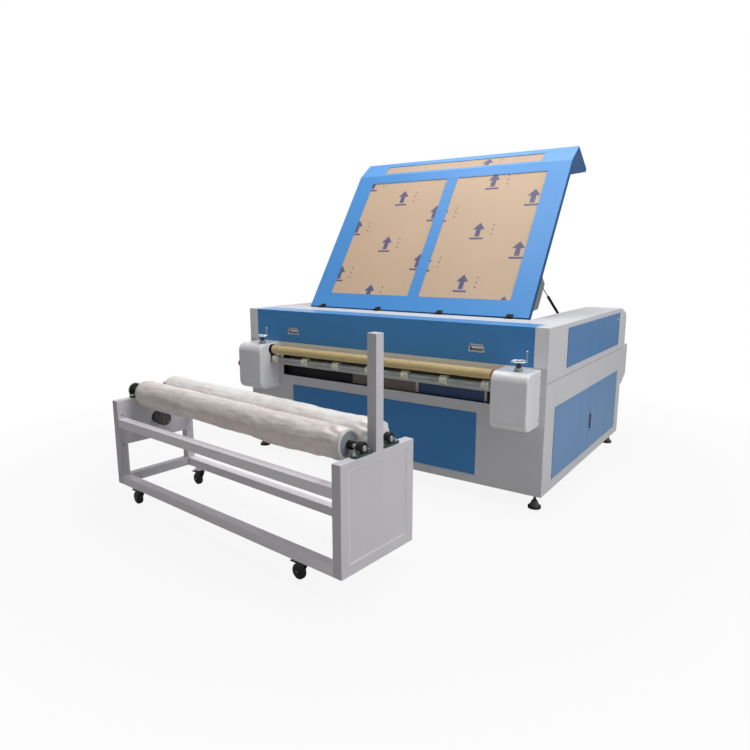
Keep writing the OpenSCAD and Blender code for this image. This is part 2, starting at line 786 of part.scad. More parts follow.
module power_supply() machine() color(dark) {
    // As wide as the arm leaves beside the bed and behind the access door
    w = arm_w - 95;
    pitch = (w - 30) / 5;
    block(arm_x + 40, high_panel_y + 160, seam_z + sheet, [w, 340, 170]);
    for (i = [0:5])
        block(arm_x + 48 + i * pitch, high_panel_y + 170, seam_z + sheet + 170, [8, 320, 10]);
}

// Axis of the stop button, from the face of the control panel towards the operator
module at_stop_button() {
    translate([arm_x + arm_w - 74, machine_d + panel_box_t, seam_z + 184])
        rotate([-90, 0, 0]) children();
}

module control_panel() machine() color(dark) {
    w = arm_w - 70;
    x = arm_x + 35;
    y = machine_d + panel_box_t;
    difference() {
        union() {
            block(x, machine_d, seam_z + 90, [w, panel_box_t, 130]);
            at_stop_button() cylinder(h = 6, r = 20, $fn = 48);
        }
        at_stop_button() translate([0, 0, -8])
            cylinder(h = 20, r = stop_stem_r + run_fit, $fn = 32);
    }
    // Display and keys
    block(x + 12, y, seam_z + 160, [w - 80, 2, 48]);
    for (i = [0:2], k = [0:3])
        block(x + 12 + k * 24, y, seam_z + 100 + i * 18, [16, 3, 10]);
}

module stop_button() machine() color([0.8, 0.1, 0.08]) at_stop_button() {
    cylinder(h = 20, r = stop_stem_r, $fn = 32);
    translate([0, 0, 15]) cylinder(h = 12, r1 = 20, r2 = 16, $fn = 48);
}

// ---------------------------------------------------------------- covers and doors
module rear_cover() machine() color(panel_blue) {
    w = cover_w - 2 * door_gap;
    bottom = chamber_z + door_gap;
    difference() {
        block(-w / 2, 0, bottom, [w, sheet, machine_h - bottom]);
        cup_places() block(-cup_w / 2, -sheet, -cup_h / 2, [cup_w, 3 * sheet, cup_h]);
    }
    block(-w / 2, 0, machine_h - sheet, [w, cover_y - door_gap, sheet]);
    for (x = [-w / 2, w / 2 - sheet])
        block(x, 0, machine_h - 30, [sheet, cover_y - door_gap, 30]);
}

module cup_places() {
    for (x = [-cup_x, cup_x]) translate([x, 0, cup_z]) children();
}

module flush_cups() machine() color(steel) cup_places() {
    difference() {
        union() {
            block(-cup_w / 2 - 8, -2, -cup_h / 2 - 8, [cup_w + 16, 2, cup_h + 16]);
            block(-cup_w / 2 + 0.5, 0, -cup_h / 2 + 0.5, [cup_w - 1, cup_depth, cup_h - 1]);
        }
        block(-cup_w / 2 + 2.5, -3, -cup_h / 2 + 2.5, [cup_w - 5, cup_depth + 1, cup_h - 5]);
    }
    // Ears that carry the bail
    for (x = [-cup_w / 2 + 2, cup_w / 2 - 7])
        difference() {
            block(x, 2, cup_h / 2 - 13, [5, 11, 11]);
            rod_x(x - 1, 7, 7, cup_h / 2 - 8, 2 + run_fit, 24);
        }
}

// Swinging handle plate in a flush cup
module bail() {
    rod_x(-cup_w / 2 + 3, cup_w - 6, 7, cup_h / 2 - 8, 2, 24);
    block(-cup_w / 2 + 8, 5, -cup_h / 2 + 5, [cup_w - 16, 3, cup_h - 13]);
    block(-cup_w / 2 + 8, 3, -cup_h / 2 + 5, [cup_w - 16, 5, 3]);
}

module bail_left() machine() color(steel) translate([-cup_x, 0, cup_z]) bail();
module bail_right() machine() color(steel) translate([cup_x, 0, cup_z]) bail();

// Door sheet with its folded edges, outer face towards +X
module door(y, z, l, h) {
    x = half_w + door_gap;
    inset = 17;
    block(x, y, z, [panel_t, l, h]);
    for (side = [0, 1]) {
        block(x - door_return, side ? y + l - inset - 2 : y + inset, z + inset,
              [door_return, 2, h - 2 * inset]);
        block(x - door_return, y + inset, side ? z + h - inset - 2 : z + inset,
              [door_return, l - 2 * inset, 2]);
    }
}

module side_door_near() machine() color(panel_blue)
    door(side_margin, low_panel_z, door_l, low_panel_h);

module side_door_far() machine() color(panel_blue) difference() {
    door(side_margin + door_l + 2, low_panel_z, door_l, low_panel_h);
    rod_x(half_w - 40, 60, latch_y, latch_z, latch_pin_r + run_fit, 32);
}

module door_latch() machine() color(dark) {
    x = half_w + door_gap + panel_t;
    rod_x(x - 8, 9, latch_y, latch_z, latch_pin_r, 32);
    block(x + 0.3, latch_y - 11, latch_z - 98, [6, 22, 110]);
}

module access_door() machine() color(panel_blue)
    door(high_panel_y, high_panel_z, high_panel_l, high_panel_h);

// ---------------------------------------------------------------- feeder cart
module cart_end_box() cart() color(shell_white) {
    t = cart_tube;
    h = cart_h - cart_z;
    difference() {
        block(-t, 0, cart_z, [t, cart_d, h]);
        // Inner space of the box, and its shallow outer field
        block(-t + sheet, sheet, cart_z + sheet, [t - 2 * sheet - 4, cart_d - 2 * sheet, h - 2 * sheet]);
        block(-4, t, cart_z + t, [5, cart_d - 2 * t, h - 2 * t + 15]);
    }
    // Square post on top
    difference() {
        block(-t, post_y, cart_h, [t, t, post_h]);
        block(-t + sheet, post_y + sheet, cart_h, [t - 2 * sheet, t - 2 * sheet, post_h - sheet]);
    }
}

module cart_left_end() cart() color(shell_white) {
    t = cart_tube;
    for (y = [0, cart_d - t]) block(-cart_l, y, cart_z, [t, t, cart_h - cart_z]);
    block(-cart_l, t, cart_z, [t, cart_d - 2 * t, t]);
    difference() {
        block(-cart_l, t, cart_h - left_plate_h, [t, cart_d - 2 * t, left_plate_h]);
        block(-cart_l - 1, t, cart_h - left_plate_h + sheet,
              [t - sheet + 1, cart_d - 2 * t, left_plate_h - 2 * sheet]);
        rod_x(-cart_l - 1, t + 2, motor_y, motor_z, shaft_r + 2);
    }
}

module cart_beams() cart() color(shell_white) {
    t = cart_tube;
    l = cart_l - 2 * t;
    for (y = [0, cart_d - t], z = [cart_z, cart_beam_z]) block(-cart_l + t, y, z, [l, t, t]);
    // Top plates of the casters
    for (x = [caster_x_right, caster_x_left], y = [caster_y_near, caster_y_far])
        block(-x - 30, y - 30, cart_z - caster_plate_t, [60, 60, caster_plate_t]);
}

// Pillow block about its shaft axis
module pillow_block() {
    w = 30;
    difference() {
        union() {
            rod_x(-w / 2, w, 0, 0, 27, 48);
            block(-w / 2, -27, -bearing_h + 8, [w, 54, bearing_h - 8]);
            block(-19, -60, -bearing_h, [38, 120, 12]);
        }
        rod_x(-w, 2 * w, 0, 0, shaft_r + run_fit);
    }
    for (y = [-46, 46]) translate([0, y, -bearing_h + 12]) cylinder(h = 8, r = 8, $fn = 6);
}

module roller_bearings() cart() color([0.16, 0.28, 0.24]) {
    for (x = [-cart_tube / 2, -cart_l + cart_tube / 2], y = [near_roller_y, far_roller_y])
        translate([x, y, roller_axis_z]) pillow_block();
}

module cart_roller(y, x_end) {
    l = cart_l - 2 * roller_end;
    rod_x(-cart_l + roller_end, l, y, roller_axis_z, roller_r, 96);
    for (x = [-cart_l + roller_end - 22, -roller_end])
        rod_x(x, 22, y, roller_axis_z, 20);
    rod_x(x_end, -x_end - 6, y, roller_axis_z, shaft_r);
}

module near_roller() cart() color([0.86, 0.83, 0.81]) {
    cart_roller(near_roller_y, -cart_l - 34);
    rod_x(-cart_l - sprocket_out, sprocket_t, near_roller_y, roller_axis_z, 46, 64);
}

module far_roller() cart() color([0.86, 0.83, 0.81])
    cart_roller(far_roller_y, -cart_l + 4);

module drive_motor() cart() color(dark) {
    x = -cart_l + cart_tube;
    difference() {
        union() {
            rod_x(x, 32, motor_y, motor_z, motor_r - 4);
            rod_x(x + 32, 58, motor_y, motor_z, motor_r);
            rod_x(x + 90, 7, motor_y, motor_z, motor_r - 10);
            block(x + 40, motor_y - 22, motor_z + 26, [40, 44, 24]);
        }
        rod_x(x - 1, 31, motor_y, motor_z, shaft_r + run_fit);
    }
}

module motor_shaft() cart() color(steel) {
    rod_x(-cart_l - 34, cart_tube + 60, motor_y, motor_z, shaft_r);
    rod_x(-cart_l - sprocket_out, sprocket_t, motor_y, motor_z, 30);
}

// Caster fork with swivel head and brake pedal, trailing to the left
module caster_fork() {
    axle_x = -caster_trail;
    difference() {
        union() {
            translate([0, 0, cart_z - 22]) cylinder(h = 21.7 - caster_plate_t, r = 22, $fn = 32);
            for (s = [-1, 1])
                translate([0, s * (wheel_w / 2 + 4) - 2, 0]) rotate([90, 0, 0]) translate([0, 0, -4])
                    linear_extrude(4) polygon([[-22, cart_z - 20], [22, cart_z - 20],
                                               [axle_x + 14, wheel_r - 10], [axle_x - 14, wheel_r - 10],
                                               [axle_x - 18, wheel_r + 14]]);
            translate([-24, -wheel_w / 2 - 6, cart_z - 24]) cube([48, wheel_w + 12, 5]);
            // Brake pedal
            translate([-74, -13, cart_z - 34]) cube([50, 26, 5]);
            translate([-30, -wheel_w / 2 - 6, cart_z - 34]) cube([8, wheel_w + 12, 14]);
        }
        translate([axle_x, 30, wheel_r]) rotate([90, 0, 0])
            cylinder(h = 60, r = 4 + run_fit, $fn = 32);
    }
}

module caster_wheel() {
    translate([-caster_trail, 0, wheel_r]) rotate([90, 0, 0]) {
        translate([0, 0, -wheel_w / 2]) cylinder(h = wheel_w, r = wheel_r, $fn = 64);
        translate([0, 0, -wheel_w / 2 - 8]) cylinder(h = wheel_w + 16, r = 4, $fn = 32);
    }
}

module at_caster(x, y) {
    cart() translate([-x, y, 0]) children();
}

module caster_near_left() color(dark) at_caster(caster_x_left, caster_y_near) caster_fork();
module caster_near_right() color(dark) at_caster(caster_x_right, caster_y_near) caster_fork();
module caster_far_left() color(dark) at_caster(caster_x_left, caster_y_far) caster_fork();
module caster_far_right() color(dark) at_caster(caster_x_right, caster_y_far) caster_fork();
module wheel_near_left() color(dark) at_caster(caster_x_left, caster_y_near) caster_wheel();
module wheel_near_right() color(dark) at_caster(caster_x_right, caster_y_near) caster_wheel();
module wheel_far_left() color(dark) at_caster(caster_x_left, caster_y_far) caster_wheel();
module wheel_far_right() color(dark) at_caster(caster_x_right, caster_y_far) caster_wheel();

lower_cabinet();
levelling_feet();
fixed_panels();
front_shelf();
right_arm();
left_arm();
rear_casing();
hinge_bases();
gearbox_left();
gearbox_right();
bearing_plates();
support_bar();
bed_frame();
conveyor_belt();
laser_tube();
tube_holders();
power_supply();
control_panel();
feed_roller();
pinch_shaft();
pinch_wheels();
handwheel_left();
handwheel_right();
drive_roller();
idler_roller();
gantry();
laser_head();
nozzle();
rear_cover();
flush_cups();
bail_left();
bail_right();
side_door_near();
side_door_far();
door_latch();
access_door();
lid_frame();
lid_windows();
lid_hinges();
strut_tube_left();
strut_rod_left();
strut_tube_right();
strut_rod_right();
stop_button();
cart_end_box();
cart_left_end();
cart_beams();
roller_bearings();
near_roller();
far_roller();
drive_motor();
motor_shaft();
caster_near_left();
caster_near_right();
caster_far_left();
caster_far_right();
wheel_near_left();
wheel_near_right();
wheel_far_left();
wheel_far_right();
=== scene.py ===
import json
import logging
import math
from contextlib import contextmanager
from dataclasses import dataclass
from enum import Enum
from typing import Any, Callable, Iterable, Iterator, Mapping, Sequence

import bmesh
import bpy
from mathutils import Matrix, Vector, noise

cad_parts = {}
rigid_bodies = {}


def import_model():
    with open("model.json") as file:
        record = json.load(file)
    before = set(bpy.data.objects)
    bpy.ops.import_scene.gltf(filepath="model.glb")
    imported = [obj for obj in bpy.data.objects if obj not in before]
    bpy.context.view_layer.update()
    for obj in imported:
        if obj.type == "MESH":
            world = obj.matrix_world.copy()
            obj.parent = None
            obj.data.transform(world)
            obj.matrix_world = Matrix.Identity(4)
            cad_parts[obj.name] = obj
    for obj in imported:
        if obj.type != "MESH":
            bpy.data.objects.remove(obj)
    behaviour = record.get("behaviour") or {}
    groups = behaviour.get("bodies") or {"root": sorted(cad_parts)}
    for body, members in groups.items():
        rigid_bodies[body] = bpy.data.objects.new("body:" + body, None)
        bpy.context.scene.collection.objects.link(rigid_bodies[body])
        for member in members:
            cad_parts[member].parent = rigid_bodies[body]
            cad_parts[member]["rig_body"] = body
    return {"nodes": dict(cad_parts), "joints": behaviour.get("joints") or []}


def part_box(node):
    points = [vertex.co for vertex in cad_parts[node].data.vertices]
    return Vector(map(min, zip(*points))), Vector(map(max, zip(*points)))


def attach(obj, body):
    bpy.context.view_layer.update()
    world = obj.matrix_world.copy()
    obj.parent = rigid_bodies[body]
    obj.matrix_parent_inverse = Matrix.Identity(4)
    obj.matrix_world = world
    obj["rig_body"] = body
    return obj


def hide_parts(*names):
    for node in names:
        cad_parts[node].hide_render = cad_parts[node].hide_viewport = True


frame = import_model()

log = logging.getLogger("feeder_cutter")
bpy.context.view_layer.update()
MM = 0.001
Colour = tuple[float, float, float]
Point = Sequence[float]
Pair = tuple[float, float]
Profile = list[Pair]
Steps = Sequence[Pair]
Thing = bpy.types.Object


def paint(red: int, green: int, blue: int) -> Colour:
    """Turns a display colour into the linear one that shaders use.

    Args:
        red: Red up to 255.
        green: Green up to 255.
        blue: Blue up to 255.

    Returns:
        The linear colour.
    """
    def linear(level: int) -> float:
        """Gives one channel's linear value."""
        share = level / 255
        return share / 12.92 if share <= 0.04045 else ((share + 0.055) / 1.055) ** 2.4
    return linear(red), linear(green), linear(blue)


# ---------------- shader graph
class Wire:
    """A shader socket that takes part in arithmetic."""

    def __init__(self, graph: "Graph", socket: bpy.types.NodeSocket) -> None:
        """Wraps one socket of a graph."""
        self.graph = graph
        self.socket = socket

    def maths(self, operation: str, *others: Any) -> "Wire":
        """Adds a Math node with this value first and gives its result."""
        return self.graph.wire("Math", dict(enumerate((self, *others))), operation=operation)

    def __add__(self, other: Any) -> "Wire":
        """Adds a value."""
        return self.maths("ADD", other)

    def __sub__(self, other: Any) -> "Wire":
        """Takes a value away."""
        return self.maths("SUBTRACT", other)

    def __rsub__(self, other: float) -> "Wire":
        """Takes this value away from a number."""
        return (self * -1.0) + other

    def __mul__(self, other: Any) -> "Wire":
        """Multiplies by a value."""
        return self.maths("MULTIPLY", other)

    def __truediv__(self, other: Any) -> "Wire":
        """Divides by a value."""
        return self.maths("DIVIDE", other)

    def __mod__(self, other: float) -> "Wire":
        """Wraps the value into one period, also below zero."""
        return self.maths("FLOORED_MODULO", other)

    __radd__ = __add__
    __rmul__ = __mul__

    def size(self) -> "Wire":
        """Drops the sign."""
        return self.maths("ABSOLUTE")

    def below(self, limit: Any) -> "Wire":
        """Gives 1 where the value is under a limit, else 0."""
        return self.maths("LESS_THAN", limit)

    def above(self, limit: Any) -> "Wire":
        """Gives 1 where the value is over a limit, else 0."""
        return self.maths("GREATER_THAN", limit)

    def most(self, other: Any) -> "Wire":
        """Gives the larger of two values."""
        return self.maths("MAXIMUM", other)

    def least(self, other: Any) -> "Wire":
        """Gives the smaller of two values."""
        return self.maths("MINIMUM", other)


@dataclass
class Graph:
    """The node tree of one material."""

    tree: bpy.types.NodeTree

    @classmethod
    def fresh(cls, owner: bpy.types.ID) -> "Graph":
        """Empties the node tree of a new material or world.

        Args:
            owner: The material or world.

        Returns:
            The empty tree.
        """
        owner.use_nodes = True
        owner.node_tree.nodes.clear()
        return cls(owner.node_tree)

    def node(self, kind: str, values: Mapping[Any, Any] | None = None,
             **settings: Any) -> bpy.types.Node:
        """Makes any node.

        Args:
            kind: The node's type without its "ShaderNode" prefix.
            values: Values or wires by input name or number.
            settings: Properties set first.

        Returns:
            The node.
        """
        made = self.tree.nodes.new("ShaderNode" + kind)
        for name, value in settings.items():
            setattr(made, name, value)
        for key, value in (values or {}).items():
            if isinstance(value, Wire):
                self.tree.links.new(value.socket, made.inputs[key])
            else:
                made.inputs[key].default_value = value
        return made

    def wire(self, kind: str, values: Mapping[Any, Any] | None = None, output: Any = 0,
             **settings: Any) -> Wire:
        """Makes a node, as node does, and wraps one output, by its name or number."""
        return Wire(self, self.node(kind, values, **settings).outputs[output])

    def place(self, stretch: Point = (1, 1, 1)) -> Wire:
        """Gives the object's own coordinates, stretched along each axis."""
        spot = self.wire("TexCoord", output="Object")
        return self.wire("Mapping", {"Vector": spot, "Scale": stretch})

    def chart(self, name: str) -> tuple[Wire, Wire]:
        """Splits a piece's own surface map into its two values."""
        return self.split(self.wire("UVMap", uv_map=name))

    def split(self, where: Wire) -> tuple[Wire, Wire]:
        """Gives the first two values of a vector."""
        parts = self.node("SeparateXYZ", {0: where}).outputs
        return Wire(self, parts[0]), Wire(self, parts[1])

    def ring(self, along: Wire, turn: Wire, radius: float) -> Wire:
        """Bends a wrap's chart into a tube, so that its pattern has no seam."""
        angle = turn * (2 * math.pi)
        return self.wire("CombineXYZ", {0: along, 1: angle.maths("COSINE") * radius,
                                        2: angle.maths("SINE") * radius})

    def speckle(self, where: Wire, scale: float, detail: float = 2.0,
                rough: float = 0.5) -> Wire:
        """Gives smooth noise from 0 to 1, with so many features per metre."""
        return self.wire("TexNoise", {"Vector": where, "Scale": scale, "Detail": detail,
                                      "Roughness": rough})

    def between(self, share: Any, low: Any, high: Any) -> Wire:
        """Mixes two colours.

        Args:
            share: 0 for the low one, 1 for the high one.
            low: Colour or wire.
            high: Colour or wire.

        Returns:
            The mixed colour.
        """
        def full(colour: Any) -> Any:
            """Adds the alpha that a colour socket wants."""
            return colour if isinstance(colour, Wire) else (*colour, 1.0)
        return self.wire("Mix", {0: share, 6: full(low), 7: full(high)}, output=2,
                         data_type="RGBA", blend_type="MIX")

    def relief(self, height: Wire, depth: float, strength: float) -> Wire:
        """Turns a height, whose 1 is a depth in metres, into a bumped normal."""
        return self.wire("Bump", {"Height": height, "Distance": depth, "Strength": strength})


# ---------------- finishes
def tint(colour: Colour, factor: float) -> Colour:
    """Scales a colour's brightness."""
    return colour[0] * factor, colour[1] * factor, colour[2] * factor


@dataclass(frozen=True)
class Finish:
    """A surface with its colour and gloss; each kind paints its own pattern."""

    name: str
    colour: Colour
    roughness: float = 0.5
    metallic: float = 0.0
    fixed: tuple[tuple[str, Any], ...] = ()

    def pattern(self, graph: Graph) -> dict[str, Any]:
        """Gives what varies over the surface: values or wires by socket name."""
        cloud = graph.speckle(graph.place(), 3.0)
        return {"Base Color": graph.between(cloud, tint(self.colour, 0.94), self.colour)}

    def material(self) -> bpy.types.Material:
        """Builds the material once and gives it again later.

        Returns:
            The material.
        """
        title = self.name + "_look"
        known = bpy.data.materials.get(title)
        if known:
            return known
        made = bpy.data.materials.new(title)
        graph = Graph.fresh(made)
        values = {"Base Color": (*self.colour, 1.0), "Roughness": self.roughness,
                  "Metallic": self.metallic, **dict(self.fixed), **self.pattern(graph)}
        shader = graph.wire("BsdfPrincipled", values)
        graph.node("OutputMaterial", {"Surface": shader})
        made.diffuse_color = (*self.colour, 1.0)
        return made


@dataclass(frozen=True)
class PowderCoat(Finish):
    """Baked powder paint with a fine orange peel and a little workshop dust."""

    grain: float = 420.0
    peel: float = 0.00012
    dust: float = 0.10

    def pattern(self, graph: Graph) -> dict[str, Any]:
        """Paints clouding, dust and peel.

        Args:
            graph: The material's tree.

        Returns:
            Values or wires by socket.
        """
        where = graph.place()
        cloud = graph.speckle(where, 1.7, 3.0)
        smudge = graph.speckle(graph.place((1, 1, 0.35)), 6.0, 4.0, 0.6)
        shade = graph.between(cloud, tint(self.colour, 0.95), tint(self.colour, 1.02))
        dirty = (smudge - 0.5).most(0.0) * (2.0 * self.dust)
        peel = graph.speckle(where, self.grain, 1.0)
        return {"Base Color": graph.between(dirty, shade, paint(120, 112, 100)),
                "Roughness": smudge * 0.16 + (self.roughness - 0.08),
                "Normal": graph.relief(peel, self.peel, 0.6)}


@dataclass(frozen=True)
class DrawnMetal(Finish):
    """Bright metal with fine lines along one axis."""

    along: Point = (0.02, 1.0, 1.0)
    lines: float = 900.0

    def pattern(self, graph: Graph) -> dict[str, Any]:
        """Draws the lines and a faint handling haze.

        Args:
            graph: The material's tree.

        Returns:
            Values or wires by socket.
        """
        lines = graph.speckle(graph.place(self.along), self.lines, 2.0, 0.7)
        haze = graph.speckle(graph.place(), 9.0, 3.0)
        return {"Base Color": graph.between(haze, tint(self.colour, 0.86), self.colour),
                "Roughness": haze * 0.14 + lines * 0.10 + (self.roughness - 0.10),
                "Normal": graph.relief(lines, 0.00003, 0.5)}


@dataclass(frozen=True)
class Moulded(Finish):
    """Plastic, rubber or cast paint with a grain of its own size."""

    grain: float = 700.0
    depth: float = 0.0001

    def pattern(self, graph: Graph) -> dict[str, Any]:
        """Gives grain and slight wear.

        Args:
            graph: The material's tree.

        Returns:
            Values or wires by socket.
        """
        where = graph.place()
        grain = graph.speckle(where, self.grain, 2.0, 0.6)
        wear = graph.speckle(where, 24.0, 4.0, 0.65)
        return {"Base Color": graph.between(wear, tint(self.colour, 0.82),
                                            tint(self.colour, 1.12)),
                "Roughness": wear * 0.22 + (self.roughness - 0.11),
                "Normal": graph.relief(grain, self.depth, 0.7)}


@dataclass(frozen=True)
class WrapFilm(Finish):
    """Milky packing film pulled tight round a roller, mapped along and around it."""

    milk: Colour = (0.92, 0.89, 0.87)
    shade: Colour = (0.56, 0.47, 0.44)
    loose_from: float = 0.42

    def pattern(self, graph: Graph) -> dict[str, Any]:
        """Paints pulled creases with painted shade along them, trapped air and overlaps.

        Args:
            graph: The material's tree.

        Returns:
            Values or wires by socket.
        """
        along, turn = graph.chart("wrap")
        crease = graph.speckle(graph.ring(along * 9.0, turn, 0.45), 1.5, 3.0, 0.5)
        air = graph.speckle(graph.ring(along * 4.2, turn, 0.5), 1.7, 2.0)
        fold = (graph.speckle(graph.ring(along * 13.0, turn, 0.35), 1.3, 2.0, 0.45) - 0.5).size()
        frost = fold.below(0.012) * ((crease - 0.46).most(0.0) * 8.0).least(1.0)
        loose = ((along + self.loose_from) * 4.0).most(0.0).least(1.0)
        pale = graph.between(air, self.colour, self.milk)
        # Darker towards the shade colour along the creases: painted shade in the folds.
        crease_shaded = graph.between((crease - 0.46).most(0.0) * 1.3, pale, self.shade)
        white = frost * 0.4 + loose * air * 0.45
        return {"Base Color": graph.between(white.least(1.0), crease_shaded, paint(252, 250, 249)),
                "Roughness": crease * 0.35 + (self.roughness - 0.16),
                "Normal": graph.relief(crease + fold * 0.6, 0.007, 0.75)}


@dataclass(frozen=True)
class PaperWrap(Finish):
    """Brown paper wound on a roller in a spiral, mapped along and around it."""

    pitch: float = 0.31

    def pattern(self, graph: Graph) -> dict[str, Any]:
        """Draws the spiral's edge with a painted shadow line, creases with painted shade and
        highlight, and fibres.

        Args:
            graph: The material's tree.

        Returns:
            Values or wires by socket.
        """
        along, turn = graph.chart("wrap")
        drift = graph.speckle(graph.ring(along * 3.0, turn, 0.6), 1.4, 3.0)
        wound = (along + turn * self.pitch + drift * 0.07) % self.pitch
        # A dark line where one turn's edge lies over the next: painted shadow.
        edge = wound.below(0.005) * drift.above(0.45)
        crease = graph.speckle(graph.ring(along * 9.0, turn, 1.0), 2.0, 5.0, 0.62)
        rumple = graph.speckle(graph.ring(along * 22.0, turn, 1.3), 1.6, 3.0)
        fibre = graph.speckle(graph.place((0.3, 1, 1)), 600.0, 2.0, 0.7)
        # Darker and lighter with the creases' height: painted shade and highlight on the rumpled
        # paper.
        base = graph.between(crease, tint(self.colour, 0.72), tint(self.colour, 1.2))
        return {"Base Color": graph.between(edge * 0.32, base, paint(128, 104, 66)),
                "Roughness": fibre * 0.2 + (self.roughness - 0.1),
                "Normal": graph.relief(crease + rumple * 0.5 + wound * 1.2, 0.0032, 0.8)}


@dataclass(frozen=True)
class PrintedFilm(Finish):
    """Brown protective film on a pane, printed with plain blue arrows and dots."""

    ink: Colour = (0.03, 0.05, 0.2)
    column: float = 0.33
    row: float = 0.42
    shrink: float = 0.72
    drop: float = 0.37
    dot: float = 0.0055
    dot_pitch: float = 0.027

    def pattern(self, graph: Graph) -> dict[str, Any]:
        """Prints a staggered field of arrows with dots beside them.

        Args:
            graph: The material's tree.

        Returns:
            Values or wires by socket.
        """
        across, up = graph.chart("film")
        step = (across / self.column).maths("FLOOR")
        x = (across % self.column - self.column / 2) * self.shrink
        y = ((up + step * (self.row * self.drop)) % self.row - self.row / 2) * self.shrink
        head = (x.size() * 1.25).below(0.042 - y) * y.above(0.002)
        stem = x.size().below(0.013) * (y + 0.019).size().below(0.0215)
        foot = x.size().below(0.036) * (y + 0.052).size().below(0.0055)
        dot_x = x - 0.075
        dot_y = (y + 0.041) % self.dot_pitch - self.dot_pitch / 2
        near = (dot_x * dot_x + dot_y * dot_y).below(self.dot ** 2)
        dots = near * (y + 0.0005).size().below(0.04)
        mark = (head + stem + foot).least(1.0)
        worn = graph.speckle(graph.place(), 260.0, 2.0, 0.7).above(0.36)
        fibre = graph.speckle(graph.place((0.8, 0.6, 0.6)), 40.0, 5.0, 0.7)
        ripple = graph.speckle(graph.place((0.5, 3, 3)), 5.0, 3.0)
        wash = graph.speckle(graph.place(), 1.6, 2.0)
        plain = graph.between(wash, tint(self.colour, 0.90), tint(self.colour, 1.08))
        bare = graph.between(fibre * 0.35, plain, tint(self.colour, 0.84))
        inked = graph.between(mark * worn * 0.92, bare, self.ink)
        return {"Base Color": graph.between(dots * worn * 0.6, inked, self.ink),
                "Roughness": fibre * 0.2 + (self.roughness - 0.1),
                "Normal": graph.relief(ripple * 0.8 + fibre * 0.2, 0.0016, 0.45)}


@dataclass(frozen=True)
class WovenBelt(Finish):
    """Conveyor belt of flat crossing strands."""

    strand: float = 0.006

    def pattern(self, graph: Graph) -> dict[str, Any]:
        """Weaves the strands, painted darker where they dip and lighter where they rise as
        painted shade and highlight, and stains them lightly.

        Args:
            graph: The material's tree.

        Returns:
            Values or wires by socket.
        """
        where = graph.place()
        x, y = ((axis * (math.pi / self.strand)).maths("SINE") for axis in graph.split(where))
        lift = x * y
        stain = graph.speckle(where, 5.0, 4.0, 0.6)
        # Colour follows the weave's height: painted shade and highlight of the strands.
        cross = graph.between(lift * 0.5 + 0.5, tint(self.colour, 0.7), tint(self.colour, 1.15))
        return {"Base Color": graph.between(stain * 0.45, cross, tint(self.colour, 0.75)),
                "Roughness": stain * 0.2 + (self.roughness - 0.1),
                "Normal": graph.relief(lift * 0.5 + 0.5, 0.0006, 0.6)}


GLASS = (("Transmission Weight", 0.9), ("IOR", 1.47))
WHITE = PowderCoat("white_powder_coat", paint(211, 211, 214), 0.5)
SEAM_DARK = PowderCoat("seam_shadow", paint(126, 126, 130), 0.6)
# Brighter white than the casing paint: painted light on the corner pillars' faces, with a clear
# coat.
PILLAR_LIT_WHITE = PowderCoat("pillar_painted_light", paint(246, 246, 248), 0.3, dust=0.04,
                          fixed=(("Coat Weight", 0.3), ("Coat Roughness", 0.12)))
GLOSS_WHITE = PowderCoat("white_gloss_paint", paint(234, 234, 237), 0.3, peel=0.00006, dust=0.05,
                         fixed=(("Coat Weight", 0.35), ("Coat Roughness", 0.12)))
BLUE = PowderCoat("blue_panel_paint", paint(48, 127, 192), 0.42, dust=0.06)
# The panel blue made lighter and greyer: painted sheen on the lit side doors.
DOOR_SHEEN_BLUE = PowderCoat("blue_door_painted_sheen", paint(102, 146, 193), 0.42, dust=0.05)
ACCESS_BLUE = PowderCoat("blue_access_paint", paint(80, 131, 183), 0.42, dust=0.05)
COVER_BLUE = PowderCoat("cover_blue_paint", paint(62, 142, 209), 0.34, dust=0.05)
LID_BLUE = PowderCoat("lid_blue_paint", paint(70, 152, 226), 0.38, dust=0.04)
# Dark blue: painted shade on the lid's end cheeks.
CHEEK_SHADE_BLUE = PowderCoat("lid_cheek_painted_shade", paint(22, 76, 126), 0.5, dust=0.03,
                        fixed=(("Specular IOR Level", 0.12),))
FILM = PrintedFilm("printed_film", paint(217, 187, 156), 0.52, ink=paint(52, 56, 116))
# The same film and ink, darker: painted shade on the sloped panes.
SLOPE_FILM_SHADED = PrintedFilm("slope_film", paint(197, 168, 142), 0.52, ink=paint(48, 52, 108))
BLACK = Moulded("black_hinge_paint", paint(16, 16, 18), 0.55, grain=500.0,
                fixed=(("Specular IOR Level", 0.22),))
PLASTIC = Moulded("black_plastic", paint(32, 32, 34), 0.5)
CHROME = DrawnMetal("chromed_steel", paint(214, 216, 218), 0.2, 1.0)
STEEL = DrawnMetal("bright_steel", paint(176, 178, 180), 0.34, 1.0)
ROLL_CHROME = DrawnMetal("roll_chrome", paint(206, 216, 224), 0.3, 1.0)
WHEEL_STEEL = DrawnMetal("wheel_steel", paint(184, 191, 198), 0.22, 1.0)
